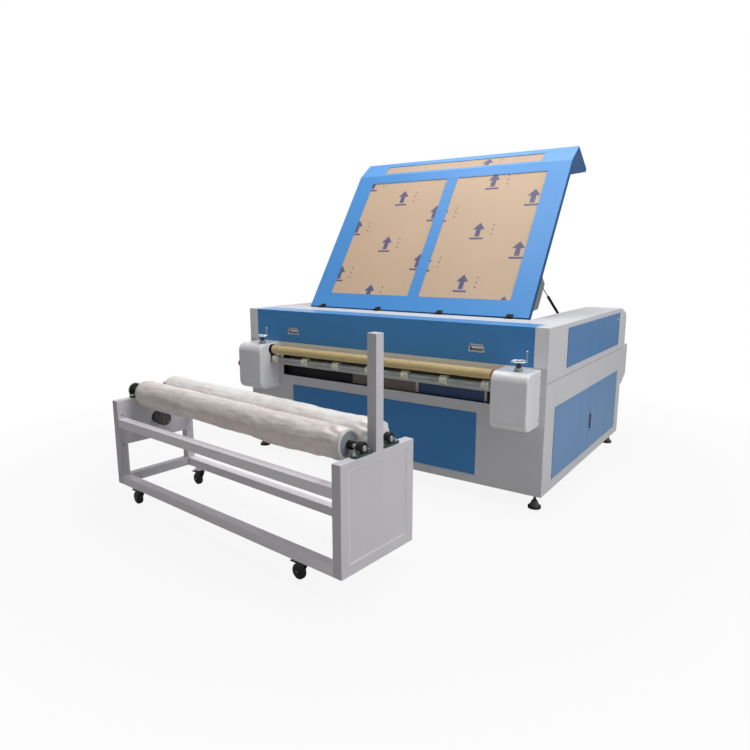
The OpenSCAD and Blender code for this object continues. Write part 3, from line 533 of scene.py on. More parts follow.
# Dark brownish metal: painted shade on the handle's grip plate in its recess.
GRIP_SHADE_BROWN = DrawnMetal("grip_plate", paint(118, 118, 106), 0.5, 0.6)
CUP_STEEL = DrawnMetal("cup_steel", paint(160, 166, 172), 0.4, 1.0)
ALUMINIUM = DrawnMetal("machined_aluminium", paint(198, 200, 203), 0.38, 1.0)
BAR_PAINT = PowderCoat("bar_paint", paint(196, 198, 196), 0.4)
PAPER = PaperWrap("brown_paper_wrap", paint(216, 192, 138), 0.58)
PINCH = Moulded("pinch_wheel_plastic", paint(232, 232, 216), 0.4, grain=900.0, depth=0.00004)
BELT = WovenBelt("belt_weave", paint(74, 75, 76), 0.6)
GLASS_TUBE = Finish("laser_glass", paint(214, 232, 236), 0.05, fixed=GLASS)
BRASS = DrawnMetal("brass_turned", paint(196, 164, 92), 0.3, 1.0)
RED = Moulded("red_plastic", paint(196, 34, 28), 0.34, grain=900.0, depth=0.00003)
CART_GREY = PowderCoat("grey_cart_paint", paint(214, 212, 218), 0.46)
# Lighter than the cart paint: painted highlight on the bead round the end box's field.
BEAD_HIGHLIGHT_GREY = PowderCoat("bead_painted_highlight", paint(238, 236, 242), 0.4)
# Near-white copy of the cart paint: painted light on the cart's beams.
CART_BEAM_LIT = PowderCoat("beam_painted_light", paint(252, 248, 254), 0.42)
PALE_FILM = WrapFilm("pale_wrap", paint(242, 236, 231), 0.34, milk=paint(250, 250, 250),
                     fixed=(("Coat Weight", 0.45), ("Coat Roughness", 0.18)))
MILKY = WrapFilm("milky_wrap", paint(228, 209, 201), 0.36,
                 fixed=(("Coat Weight", 0.4), ("Coat Roughness", 0.2)))
GREEN_IRON = Moulded("green_iron", paint(38, 66, 58), 0.44, grain=160.0, depth=0.0004)
MOTOR_BLACK = Moulded("black_motor_paint", paint(36, 38, 40), 0.46, grain=220.0, depth=0.0002)
MOTOR_GREY = Moulded("grey_motor_paint", paint(92, 88, 90), 0.46, grain=220.0, depth=0.0002)
COLLAR_IRON = Moulded("collar_iron", paint(128, 140, 132), 0.36, grain=260.0, depth=0.0002)
BRACKET_GREY = Moulded("bracket_grey", paint(112, 114, 108), 0.5, grain=300.0, depth=0.0001)
DISC_GREY = Moulded("disc_grey", paint(150, 154, 158), 0.5, grain=300.0)
CASTER_BLACK = Moulded("caster_steel", paint(28, 28, 30), 0.4, grain=400.0)
TYRE = Moulded("caster_rubber", paint(24, 24, 24), 0.68, grain=350.0, depth=0.0002)
TAPE_RED = Moulded("red_tape", paint(150, 66, 54), 0.5, grain=500.0)
RIM_WHITE = Moulded("rim_white", paint(232, 230, 228), 0.5, grain=200.0, depth=0.0002)
# Darkened film: painted shade on the pinch shaft under the feed roller.
CLEAR_FILM_SHADED = WrapFilm("clear_wrap_painted_shade", paint(112, 122, 120), 0.3, milk=paint(200, 208, 206),
                      shade=paint(58, 66, 66), loose_from=-9.0,
                      fixed=(("Coat Weight", 0.5), ("Coat Roughness", 0.15)))
POST_GREY = PowderCoat("post_grey", paint(168, 168, 160), 0.5)
# Brighter, warmer white than the casing: painted light on the sill below the rear cover.
SILL_LIT_WHITE = PowderCoat("sill_painted_light", paint(252, 248, 236), 0.42)
# Dark brown and dark blue: painted shade inside the feed mouth.
MOUTH_SHADE_BROWN = PowderCoat("shield_brown", paint(112, 100, 94), 0.5)
MOUTH_SHADE_BLUE = PowderCoat("shield_blue", paint(34, 62, 104), 0.4)
KEY_GREY = Moulded("key_grey", paint(150, 154, 158), 0.5)
SCREEN = Moulded("display_screen", paint(22, 44, 62), 0.12, grain=40.0, depth=0.00001)
COLLAR_YELLOW = Moulded("collar_yellow", paint(228, 186, 40), 0.4)

SLOT_FINISH = {one.name: one for one in (
    WHITE, GLOSS_WHITE, BLUE, LID_BLUE, BLACK, STEEL, ALUMINIUM, PINCH, GLASS_TUBE, PLASTIC,
    CART_GREY, GREEN_IRON, MOTOR_BLACK, CASTER_BLACK, TYRE)}
SLOT_FINISH |= {"window_pane": FILM, "chromed_rod": CHROME, "feed_roller_wrap": PAPER,
                "belt_fabric": BELT, "brass_nozzle": BRASS, "red_button": RED,
                "wrapped_roller": DISC_GREY}
NODE_FINISH = {
    "rear_cover": COVER_BLUE, "support_bar": BAR_PAINT, "flush_cups": CUP_STEEL,
    "access_door": ACCESS_BLUE, "side_door_near": DOOR_SHEEN_BLUE, "side_door_far": DOOR_SHEEN_BLUE,
    "cart_beams": CART_BEAM_LIT,
}


def finish_of(node: str) -> Finish:
    """Gives a CAD piece's own finish, or else its slot's."""
    return NODE_FINISH.get(node) or SLOT_FINISH[CAD_SLOT[node]]


# ---------------- mesh work
class Axis(Enum):
    """A direction that turned and drawn pieces run along."""

    X = (1.0, 0.0, 0.0)
    Y = (0.0, 1.0, 0.0)
    Z = (0.0, 0.0, 1.0)
    BACK = (0.0, -1.0, 0.0)
    LEFT = (-1.0, 0.0, 0.0)


def facing(origin: Point, axis: Axis | Point = Axis.Z) -> Matrix:
    """Gives the frame at a point whose Z points along an axis."""
    way = Vector(axis.value if isinstance(axis, Axis) else axis)
    return Matrix.Translation(Vector(origin)) @ way.to_track_quat("Z", "Y").to_matrix().to_4x4()


@dataclass(frozen=True)
class Span:
    """The lowest and highest corner of a piece, in metres."""

    low: Vector
    high: Vector

    @classmethod
    def of(cls, node: str, local: Matrix | None = None) -> "Span":
        """Measures a CAD piece, in the row's frame or in a local one.

        Args:
            node: The CAD piece.
            local: The frame, or None for the row's.

        Returns:
            Its corners.
        """
        if local is None:
            return cls(*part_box(node))
        back = local.inverted()
        return cls.over([back @ corner.co for corner in frame["nodes"][node].data.vertices])

    @classmethod
    def over(cls, spots: Sequence[Vector]) -> "Span":
        """Measures a set of points."""
        return cls(Vector([min(s[k] for s in spots) for k in range(3)]),
                   Vector([max(s[k] for s in spots) for k in range(3)]))

    @property
    def middle(self) -> Vector:
        """The point halfway between the corners."""
        return (self.low + self.high) / 2

    @property
    def size(self) -> Vector:
        """The extent along each axis."""
        return self.high - self.low


FLUSH = 0.01 * MM
WELD = 0.02 * MM
SAME_RADIUS = 1e-7
SOFT_ANGLE = 46.0


class Hand:
    """Picks and shapes parts of one mesh in edit mode."""

    def __init__(self, piece: Thing) -> None:
        """Takes the piece that is in edit mode."""
        self.piece = piece

    def pick(self, kind: str, test: Callable[[Any], bool]) -> None:
        """Selects the faces or edges that pass a test.

        Args:
            kind: "FACE" or "EDGE".
            test: Tells which ones.
        """
        bpy.ops.mesh.select_mode(type=kind)
        bpy.ops.mesh.select_all(action="DESELECT")
        mesh = bmesh.from_edit_mesh(self.piece.data)
        for part in mesh.faces if kind == "FACE" else mesh.edges:
            if test(part):
                part.select_set(True)
        mesh.select_flush_mode()
        bmesh.update_edit_mesh(self.piece.data)

    def all(self) -> None:
        """Selects the whole mesh."""
        bpy.ops.mesh.select_all(action="SELECT")

    def push(self, move: Point) -> None:
        """Extrudes the selection by a vector."""
        bpy.ops.mesh.extrude_region_move(TRANSFORM_OT_translate={"value": tuple(move)})

    def scale(self, factors: Point, centre: Point) -> None:
        """Scales the selection about a point."""
        bpy.ops.transform.resize(value=tuple(factors), center_override=tuple(centre))

    def round(self, width: float, segments: int = 3) -> None:
        """Bevels the selected edges."""
        bpy.ops.mesh.bevel(offset=width, segments=segments, affect="EDGES")

    def outward(self) -> None:
        """Points every face outwards."""
        self.all()
        bpy.ops.mesh.normals_make_consistent(inside=False)


def step_of(edge: bmesh.types.BMEdge) -> Vector:
    """Gives the step from an edge's second corner to its first."""
    return edge.verts[0].co - edge.verts[1].co


def across(axis: int, place: float) -> Callable[[Any], bool]:
    """Makes a test for edges or faces that lie wholly in a plane across axis 0, 1 or 2."""
    return lambda part: all(abs(corner.co[axis] - place) < FLUSH for corner in part.verts)


class Bench:
    """Makes single pieces with Blender's own tools and hands them over finished."""

    @staticmethod
    def clear() -> None:
        """Deselects everything."""
        for thing in bpy.context.view_layer.objects:
            thing.select_set(False)

    def take(self, piece: Thing) -> None:
        """Makes one piece the only selected and active one.

        Args:
            piece: The piece.
        """
        self.clear()
        bpy.context.view_layer.objects.active = piece
        piece.select_set(True)

    @contextmanager
    def shaping(self, piece: Thing) -> Iterator[Hand]:
        """Holds a piece in edit mode.

        Args:
            piece: The piece.

        Yields:
            The hand that shapes it.
        """
        self.take(piece)
        bpy.ops.object.mode_set(mode="EDIT")
        yield Hand(piece)
        bpy.ops.object.mode_set(mode="OBJECT")

    def started(self, name: str) -> Thing:
        """Names the primitive that was just added.

        Args:
            name: Its name.

        Returns:
            The piece.
        """
        piece = bpy.context.active_object
        piece.name = piece.data.name = name
        return piece

    def settle(self, piece: Thing, at: Matrix | None = None) -> Thing:
        """Applies a piece's place to its mesh.

        Args:
            piece: The piece.
            at: The frame to move it to first.

        Returns:
            The piece, its object at the origin.
        """
        self.take(piece)
        if at is not None:
            piece.matrix_world = at @ piece.matrix_world
            bpy.context.view_layer.update()
        bpy.ops.object.transform_apply(location=True, rotation=True, scale=True)
        return piece

    def modified(self, piece: Thing, kind: str, **settings: Any) -> Thing:
        """Applies one modifier.

        Args:
            piece: The piece.
            kind: The modifier's type.
            settings: Its properties.

        Returns:
            The piece.
        """
        self.take(piece)
        modifier = piece.modifiers.new(kind.title(), kind)
        for key, value in settings.items():
            setattr(modifier, key, value)
        bpy.ops.object.modifier_apply(modifier=modifier.name)
        return piece

    def rounded(self, piece: Thing, width: float, segments: int = 2,
                angle: float = 40.0) -> Thing:
        """Rounds the sharp edges and shades the rest smooth.

        Args:
            piece: The piece.
            width: Width of the rounding.
            segments: Its steps.
            angle: Edges sharper than this many degrees are rounded.

        Returns:
            The piece.
        """
        self.modified(piece, "BEVEL", width=width, segments=segments, limit_method="ANGLE",
                      angle_limit=math.radians(angle))
        return self.smooth(piece)

    def smooth(self, piece: Thing, angle: float = SOFT_ANGLE) -> Thing:
        """Shades smooth up to an angle, with large faces kept flat.

        Args:
            piece: The piece.
            angle: The angle in degrees.

        Returns:
            The piece.
        """
        self.take(piece)
        bpy.ops.object.shade_smooth_by_angle(angle=math.radians(angle))
        return self.modified(piece, "WEIGHTED_NORMAL", keep_sharp=True, weight=50)

    def block(self, name: str, low: Point, high: Point, edge: float,
              segments: int = 2) -> Thing:
        """Makes a bar or plate with rounded edges.

        Args:
            name: The piece's name.
            low: Its lowest corner.
            high: Its highest corner.
            edge: Rounding of its edges.
            segments: Steps of the rounding.

        Returns:
            The piece.
        """
        low, high = Vector(low), Vector(high)
        self.clear()
        bpy.ops.mesh.primitive_cube_add(size=1, location=(low + high) / 2, scale=high - low)
        piece = self.settle(self.started(name))
        return self.rounded(piece, edge, segments) if edge else piece

    def turned(self, name: str, profile: Steps, at: Matrix | None = None, facets: int = 48,
               angle: float = SOFT_ANGLE) -> Thing:
        """Turns a solid from its profile, as on a lathe.

        Args:
            name: The piece's name.
            profile: Steps of distance along the axis and radius.
            at: The frame whose Z is the axis.
            facets: Steps round the axis.
            angle: Edges up to this many degrees are shaded smooth.

        Returns:
            The piece.
        """
        self.clear()
        place, radius = profile[0]
        bpy.ops.mesh.primitive_circle_add(vertices=facets, radius=radius,
                                          location=(0, 0, place), fill_type="NGON")
        piece = self.settle(self.started(name))
        with self.shaping(piece) as hand:
            hand.all()
            for following, wide in profile[1:]:
                hand.push((0, 0, following - place))
                if abs(wide - radius) > SAME_RADIUS:
                    hand.scale((wide / radius, wide / radius, 1), (0, 0, following))
                place, radius = following, wide
            hand.outward()
        self.smooth(piece, angle)
        return self.settle(piece, at)

    def prism(self, name: str, outline: Sequence[Point], axis: int, low: float,
              high: float) -> Thing:
        """Draws an outline out along an axis.

        Args:
            name: The piece's name.
            outline: Its corners, as the two other coordinates in order.
            axis: 0, 1 or 2.
            low: Where it starts along the axis.
            high: Where it ends.

        Returns:
            The piece.
        """
        self.clear()
        bpy.ops.mesh.primitive_circle_add(vertices=len(outline), radius=1, fill_type="NGON")
        piece = self.settle(self.started(name))
        for corner, (first, second) in zip(piece.data.vertices, outline):
            spot = [first, second]
            spot.insert(axis, low)
            corner.co = spot
        with self.shaping(piece) as hand:
            hand.all()
            hand.push([high - low if k == axis else 0.0 for k in range(3)])
            hand.outward()
        return piece

    def ring(self, name: str, radius: float, wire: float, at: Matrix) -> Thing:
        """Bends a round bar into a ring.

        Args:
            name: The piece's name.
            radius: Radius of the bar's centreline.
            wire: Radius of the bar.
            at: The frame whose Z is the ring's axis.

        Returns:
            The piece.
        """
        self.clear()
        bpy.ops.mesh.primitive_torus_add(major_radius=radius, minor_radius=wire,
                                         major_segments=64, minor_segments=16)
        piece = self.settle(self.started(name), at)
        bpy.ops.object.shade_smooth()
        return piece

    def cut(self, piece: Thing, tool: Thing) -> None:
        """Cuts one piece with another and throws the tool away."""
        self.modified(piece, "BOOLEAN", object=tool, operation="DIFFERENCE", solver="EXACT")
        self.discard(tool)

    def joined(self, name: str, pieces: Sequence[Thing]) -> Thing:
        """Joins pieces of one finish into one.

        Args:
            name: The joined piece's name.
            pieces: The pieces.

        Returns:
            The joined piece.
        """
        self.take(pieces[0])
        for piece in pieces:
            piece.select_set(True)
        bpy.ops.object.join()
        return self.started(name)

    @staticmethod
    def discard(*patterns: Thing) -> None:
        """Throws patterns away once their copies stand."""
        for pattern in patterns:
            bpy.data.objects.remove(pattern)

    def twin(self, piece: Thing, name: str, move: Matrix) -> Thing:
        """Copies a piece with its own mesh and moves the copy.

        Args:
            piece: The pattern.
            name: The copy's name.
            move: Its move.

        Returns:
            The copy.
        """
        copy = bpy.data.objects.new(name, piece.data.copy())
        copy.data.name = name
        bpy.context.scene.collection.objects.link(copy)
        copy.data.transform(move)
        return copy

    def softened(self, node: str, width: float, segments: int = 2) -> Thing:
        """Stands for a CAD piece with the same shape, its edges rounded.

        Args:
            node: The CAD piece.
            width: Width of the rounding.
            segments: Its steps.

        Returns:
            The new piece, riding on the CAD piece's body.
        """
        cad = frame["nodes"][node]
        piece = bpy.data.objects.new(node + "_skin", cad.data.copy())
        bpy.context.scene.collection.objects.link(piece)
        with self.shaping(piece) as hand:
            hand.all()
            bpy.ops.mesh.remove_doubles(threshold=WELD)
            bpy.ops.mesh.dissolve_limited(angle_limit=math.radians(0.5))
        self.rounded(piece, width, segments)
        hand_over(piece, cad["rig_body"], finish_of(node), (node,))
        return piece


CAD_SLOT = {name: node.material_slots[0].material.name.split(".")[0]
            for name, node in frame["nodes"].items()}
bench = Bench()


def hand_over(piece: Thing, body: str, finish: Finish,
              stands_for: Iterable[str] = ()) -> None:
    """Dresses a finished piece and fixes it to its body.

    Args:
        piece: The piece.
        body: The body that it rides on.
        finish: Its finish.
        stands_for: CAD pieces that it replaces.
    """
    piece.data.materials.clear()
    piece.data.materials.append(finish.material())
    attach(piece, body)
    if stands_for:
        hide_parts(*stands_for)
    log.info("%s: %d faces on %s", piece.name, len(piece.data.polygons), body)


def joint(name: str) -> Mapping[str, Any]:
    """Finds a joint by name."""
    return next(one for one in frame["joints"] if one["name"] == name)


def pin_of(name: str) -> Vector:
    """Gives the point that a joint turns or slides about."""
    return Vector(joint(name)["pos_m"])


MACHINE_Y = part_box("lower_cabinet")[0].y


def spot(x: float, y: float, z: float) -> Vector:
    """Gives a point from its distances in millimetres off the feed side's face."""
    return Vector((x * MM, y * MM + MACHINE_Y, z * MM))


def arc(centre: Point, radius: float, start: float, end: float, steps: int) -> Profile:
    """Draws points on an arc, in degrees."""
    turns = [math.radians(start + (end - start) * k / steps) for k in range(steps + 1)]
    return [(centre[0] + radius * math.cos(a), centre[1] + radius * math.sin(a)) for a in turns]


def metres(steps: Steps, start: float = 0.0, radius: float = 0.0) -> Profile:
    """Turns a profile in millimetres into metres, counted from a start and a radius."""
    return [(start + along * MM, radius + wide * MM) for along, wide in steps]


def rod(low: float, high: float, radius: float, nose: float) -> Profile:
    """Draws a round bar with a chamfer of 45 degrees at each end."""
    return [(low, radius - nose), (low + nose, radius), (high - nose, radius),
            (high, radius - nose)]


def mirrored(steps: Steps) -> Profile:
    """Adds a profile's other half, past 0 along the axis."""
    return [*steps, *((-along, wide) for along, wide in reversed(steps))]


# ---------------- machine
@dataclass
class Cabinet:
    """The welded cabinet with its arms, shelf, feet and feed mouth."""

    edge: float = 1.4 * MM
    foot_edge: float = 0.8 * MM
    sheet_edge: float = 0.2 * MM
    shield_edge: float = 0.7 * MM
    post_edge: float = 1.2 * MM
    mouth: Pair = (599, 672)
    post: Pair = (598, 674)
    lip: float = 22
    wall: float = 39
    sheet: float = 3
    post_front: float = 18
    # The plates behind the feed mouth are dark: painted shade inside the mouth.
    shields: tuple[tuple[str, float, float, Finish], ...] = (
        ("left", -814, -216, BLACK), ("middle", -215, 292, MOUTH_SHADE_BROWN),
        ("right", 309, 762, MOUTH_SHADE_BLUE), ("end", 781, 814, PLASTIC))
    posts: tuple[tuple[str, float, float], ...] = (
        ("mouth_divider", 293, 308), ("mouth_divider_end", 763, 780))

    def build(self) -> None:
        """Makes the cabinet's skins and what shows in its mouth."""
        for node in ("lower_cabinet", "right_arm", "left_arm", "front_shelf", "rear_casing"):
            bench.softened(node, self.edge)
        bench.softened("levelling_feet", self.foot_edge)
        for name, left, right, finish in self.shields:
            self.shield(f"mouth_shield_{name}", left, right, finish)
        for name, left, right in self.posts:
            post = bench.block(name, spot(left, self.post_front, self.post[0]),
                               spot(right, self.wall, self.post[1]), self.post_edge)
            hand_over(post, "machine", POST_GREY)
        self.seam()
        self.pillars()

    def seam(self) -> None:
        """Fills the joint between the casing and the lower cabinet with a dark strip."""
        box = Span.of("lower_cabinet")
        lines = []
        for x, way in ((box.low.x, 1), (box.high.x, -1)):
            near, far = sorted((x - way * 0.12 * MM, x + way * 2.6 * MM))
            lines.append(bench.block("seam", (near, box.low.y + 3 * MM, box.high.z - 2.2 * MM),
                                     (far, box.high.y - 3 * MM, box.high.z + 1.4 * MM),
                                     0.1 * MM, 1))
        hand_over(bench.joined("casing_seam", lines), "machine", SEAM_DARK)

    def pillars(self) -> None:
        """Faces the corner pillars beside the rear cover with glossy sheet, and its sill with
        sheet, both brighter than the casing: painted light.
        """
        cover, arm = Span.of("rear_cover"), Span.of("right_arm")
        front, back = -0.3 * MM, 0.5 * MM
        for side, way in (("left", -1), ("right", 1)):
            near, far = sorted((way * (cover.high.x + 1.5 * MM), way * (arm.high.x - 1.5 * MM)))
            face = bench.block(f"pillar_face_{side}",
                               (near, arm.low.y + front, cover.low.z + 1 * MM),
                               (far, arm.low.y + back, arm.high.z - 2 * MM), self.sheet_edge)
            hand_over(face, "machine", PILLAR_LIT_WHITE)
        low = Span.of("rear_casing").low.z + 2 * MM
        sill = bench.block("cover_sill", (cover.low.x + 2 * MM, cover.low.y + front, low),
                           (cover.high.x - 2 * MM, cover.low.y + back, cover.low.z - 1.5 * MM),
                           self.sheet_edge)
        hand_over(sill, "machine", SILL_LIT_WHITE)

    def shield(self, name: str, left: float, right: float, finish: Finish) -> None:
        """Folds one shield plate behind the feed mouth.

        Args:
            name: The plate's name.
            left: Its left end in millimetres.
            right: Its right end.
            finish: Its paint, a dark colour as painted shade inside the mouth.
        """
        (low, high), (lip, wall, sheet) = self.mouth, (self.lip, self.wall, self.sheet)
        fold = ((lip, low), (wall, low), (wall, high), (wall - sheet, high),
                (wall - sheet, low + sheet), (lip, low + sheet))
        plate = bench.prism(name, [spot(0, y, z)[1:] for y, z in fold], 0, left * MM, right * MM)
        bench.rounded(plate, self.shield_edge)
        hand_over(plate, "machine", finish)


@dataclass
class Panels:
    """The blue panels, doors, latch and lock."""

    edge: float = 1.0 * MM
    handle_edge: float = 1.6 * MM
    handle_taper: float = 0.8
    plate: Pair = (6 * MM, 1 * MM)
    boss_radius: float = 5.9 * MM
    boss: Steps = ((-2, 5.9), (-2, 8), (-0.6, 8), (0, 6.5))
    lock: Steps = ((0, 9), (2.4, 9), (3.4, 7.92), (3.4, 5.58), (2.6, 5.04), (2.6, 1.8))
    lock_in: float = 62 * MM
    lock_down: float = 46 * MM

    def build(self) -> None:
        """Makes the panels and doors and their fittings."""
        for node in ("fixed_panels", "side_door_near", "side_door_far", "access_door"):
            bench.softened(node, self.edge)
        self.latch()
        door = Span.of("access_door")
        lock = bench.turned("access_lock", metres(self.lock),
                            facing((door.high.x, door.high.y - self.lock_in,
                                    door.high.z - self.lock_down), Axis.X))
        hand_over(lock, "access_door", CHROME)

    def latch(self) -> None:
        """Makes the turning latch handle of the far door."""
        box, pin = Span.of("door_latch"), pin_of("latch_turn")
        face, half = box.high.x, box.size.y / 2
        outline = [*arc((pin.y, box.low.z + half), half * self.handle_taper, 180, 360, 12),
                   *arc((pin.y, pin.z), half, 0, 180, 16)]
        handle = bench.prism("latch_handle", outline, 0, face - self.plate[0],
                             face - self.plate[1])
        bench.rounded(handle, self.handle_edge, 3)
        steps = [(box.low.x, self.boss_radius), *metres(self.boss, face)]
        boss = bench.turned("latch_boss", steps, facing((0, pin.y, pin.z), Axis.X), 32)
        hand_over(bench.joined("latch", [handle, boss]), "door_latch", PLASTIC,
                  ("door_latch",))


@dataclass
class RearCover:
    """The hinged cover over the laser tube, with its flush handles."""

    edge: float = 1.2 * MM
    cup_edge: float = 0.7 * MM
    roll_edge: float = 1.5 * MM
    grip_edge: float = 0.9 * MM
    bail_inset: float = 5 * MM
    pin: float = 2 * MM
    pin_nose: float = 0.4 * MM
    screw_in: float = 4.5 * MM
    screw_far: float = 49.5 * MM
    screw_down: float = 4.6 * MM

    def build(self) -> None:
        """Makes the cover, cups and bails."""
        bench.softened("rear_cover", self.edge)
        bench.softened("flush_cups", self.cup_edge)
        for side in ("left", "right"):
            self.bail(side)
        self.cup_screws()

    def bail(self, side: str) -> None:
        """Makes one swinging handle: a bright roll on its pin above a grip plate whose dark paint
        is painted shade in the cup's recess.

        Args:
            side: "left" or "right".
        """
        body, pin = f"bail_{side}", pin_of(f"bail_{side}_hinge")
        box = Span.of(body)
        left, right = box.low.x + self.bail_inset, box.high.x - self.bail_inset
        roll = bench.block("roll", (left, pin.y - 3.4 * MM, pin.z - 10.5 * MM),
                           (right, pin.y + 1.6 * MM, pin.z + 1.6 * MM), self.roll_edge, 3)
        axle = bench.turned("pin", rod(box.low.x, box.high.x, self.pin, self.pin_nose),
                            facing((0, pin.y, pin.z), Axis.X), 24)
        hand_over(bench.joined(body + "_roll", [roll, axle]), body, ROLL_CHROME,
                  (body,))
        grip = bench.block(body + "_grip", (left, box.low.y + 0.2 * MM, box.low.z),
                           (right, pin.y + 1 * MM, pin.z - 11.2 * MM), self.grip_edge)
        hand_over(grip, body, GRIP_SHADE_BROWN)

    def cup_screws(self) -> None:
        """Puts four screws in each cup's flange: black heads above, bright ones below."""
        cups = Span.of("flush_cups")
        near, far = cups.high.x - self.screw_in, cups.high.x - cups.size.z - self.screw_far
        for row, z, wide, finish, slot in (
                ("upper", cups.high.z - self.screw_down, 4.2, BLACK, "black_hinge_paint"),
                ("lower", cups.low.z + self.screw_down, 3.2, ROLL_CHROME, "bright_steel")):
            head = metres(((-0.4, wide), (0.6, wide), (1.2, wide * 0.7), (1.2, wide * 0.3)))
            heads = [bench.turned("cup_screw", head,
                                  facing((side * x, cups.low.y, z), Axis.BACK), 16)
                     for side in (-1, 1) for x in (near, far)]
            hand_over(bench.joined(f"cup_screws_{row}", heads), "rear_cover", finish)


@dataclass
class FeedUnit:
    """Gear boxes, wrapped feed roller, pinch rollers and handwheels."""

    corner: float = 55 * MM
    wall: float = 3 * MM
    edge: float = 9 * MM
    bar_edge: float = 1.2 * MM
    plate_edge: float = 0.5 * MM
    roller_gap: float = 6 * MM
    cut_depth: float = 12 * MM
    slot_half: Pair = (16 * MM, 24 * MM)
    screw_hole: Steps = ((-20, 8), (20, 8))
    screw_rows: tuple[float, ...] = (0.12, 0.5, 0.88)
    screw_in: float = 12 * MM
    openings: Pair = (781 * MM, 60 * MM)
    screw: Steps = ((-0.5, 4.2), (0.8, 4.2), (2, 3.36), (2.6, 1.89), (1.7, 1.68))
    lamp: Steps = ((-1, 22), (2, 22), (3, 20.5), (3, 16.5), (7, 16), (10, 12.5), (11, 5))
    lamp_in: float = 16 * MM
    lamp_up: float = 14 * MM
    paper_ends: Pair = (18 * MM, 30 * MM)
    paper_rings: int = 220
    journal: float = 10 * MM
    core_in: float = 20 * MM
    core_under: float = 3 * MM
    tape: Steps = ((-42, -2), (-42, 0.2), (-12, 0.2), (-12, -2))
    wheel_count: int = 7
    wheel_half: float = 23 * MM
    bore: float = 12.1 * MM
    wheel: Steps = ((-23, -1.2), (-21.8, 0), (-14.2, 0), (-13, -1.2), (-13, -4), (-5, -4),
                    (-5, -1.2), (-3.8, 0))
    set_screw: Steps = ((-4.2, 2.8), (-3.4, 2.8), (-3.4, 1.2), (-4, 1))
    set_screw_in: float = 9 * MM
    bar: float = 12 * MM
    bar_nose: float = 0.8 * MM
    bar_end: float = 8 * MM
    bar_past: float = 22 * MM
    film_gap: float = 3 * MM
    film_radius: float = 14 * MM
    rim_radius: float = 45 * MM
    rim_wire: float = 4.2 * MM
    rim_up: float = 3 * MM
    spoke: Steps = ((8, 4.8), (18, 3.4), (43, 3))
    hub: Steps = ((-5, 8), (-4, 11.5), (4, 12.5), (8, 11), (10, 7.5), (10, 4))
    pitch: float = 2.6 * MM
    thread_from: float = 28 * MM
    thread_end: float = -4 * MM
    crank_foot: Steps = ((0, 3), (12, 3), (12, 4.2), (16, 4.6))
    crank_knob: Steps = ((-13, 3.6), (-10, 5), (-6.5, 6), (-3, 5.2), (-0.8, 2.8))
    collars: tuple[tuple[str, Finish, Steps], ...] = (
        ("collar", COLLAR_IRON, ((0.2, 24), (11, 23.6), (14, 21.5), (20, 15), (22.5, 13.5),
                                 (22.5, 6.6))),
        ("collar_neck", MOTOR_BLACK, ((22.2, 6.6), (22.2, 16.5), (30, 16), (31, 13), (43, 12),
                                      (44.5, 6.6))))
    sides: tuple[tuple[str, int], ...] = (("left", -1), ("right", 1))

    def __post_init__(self) -> None:
        """Finds the gear boxes' inner sides."""
        self.inner = Span.of("gearbox_left").high.x, Span.of("gearbox_right").low.x

    def build(self) -> None:
        """Makes the whole feed unit."""
        for side, way in self.sides:
            self.gear_box(side, way)
        self.feed_roller()
        self.pinch_wheels()
        self.pinch_shaft()
        bench.softened("support_bar", self.bar_edge)
        bench.softened("bearing_plates", self.plate_edge)
        self.handwheels()

    def gear_box(self, side: str, way: int) -> None:
        """Makes one gear box shell with its soft corners, openings and screws.

        Args:
            side: "left" or "right".
            way: -1 or 1, pointing away from the machine's middle.
        """
        node, r = f"gearbox_{side}", self.corner
        box = Span.of(node)
        front, back = box.low.y, box.high.y
        outline = [(back, box.low.z), *arc((front + r, box.low.z + r), r, 270, 180, 16),
                   *arc((front + r, box.high.z - r), r, 180, 90, 16), (back, box.high.z)]
        shell = bench.prism(node + "_shell", outline, 0, box.low.x, box.high.x)
        with bench.shaping(shell) as hand:
            left, right, rear = across(0, box.low.x), across(0, box.high.x), across(1, back)
            hand.pick("EDGE", lambda edge: (left(edge) or right(edge)) and not rear(edge))
            hand.round(self.edge, 4)
            hand.pick("FACE", rear)
            bpy.ops.mesh.delete(type="FACE")
        bench.modified(shell, "SOLIDIFY", thickness=self.wall, offset=-1.0)
        self.openings_in(shell, box.low.x if way > 0 else box.high.x)
        wheel = pin_of(f"handwheel_{side}_turn")
        bench.cut(shell, bench.turned("screw_hole", metres(self.screw_hole),
                                      facing((wheel.x, wheel.y, box.high.z)), 32))
        bench.smooth(shell, 40)
        hand_over(shell, "machine", GLOSS_WHITE, (node,))
        self.screws(node, box, way)
        if way < 0:
            lamp = bench.turned("feed_lamp", metres(self.lamp),
                                facing((box.low.x, box.low.y + self.lamp_in,
                                        box.middle.z + self.lamp_up), Axis.LEFT), 32)
            hand_over(lamp, "machine", RED)

    def openings_in(self, shell: Thing, inner: float) -> None:
        """Opens a gear box's inner side for the feed roller and the pinch shaft.

        Args:
            shell: The gear box.
            inner: Where its inner side stands.
        """
        roller, shaft, deep = pin_of("feed_spin"), pin_of("pinch_spin"), self.cut_depth
        hole = Span.of("feed_roller").size.z / 2 + self.roller_gap
        bench.cut(shell, bench.turned("roller_hole", [(-deep, hole), (deep, hole)],
                                      facing((inner, roller.y, roller.z), Axis.X), 64))
        wide, drop = self.slot_half
        bench.cut(shell, bench.block("shaft_slot", (inner - deep, shaft.y - wide, shaft.z - drop),
                                     (inner + deep, shaft.y + wide, roller.z), 0))

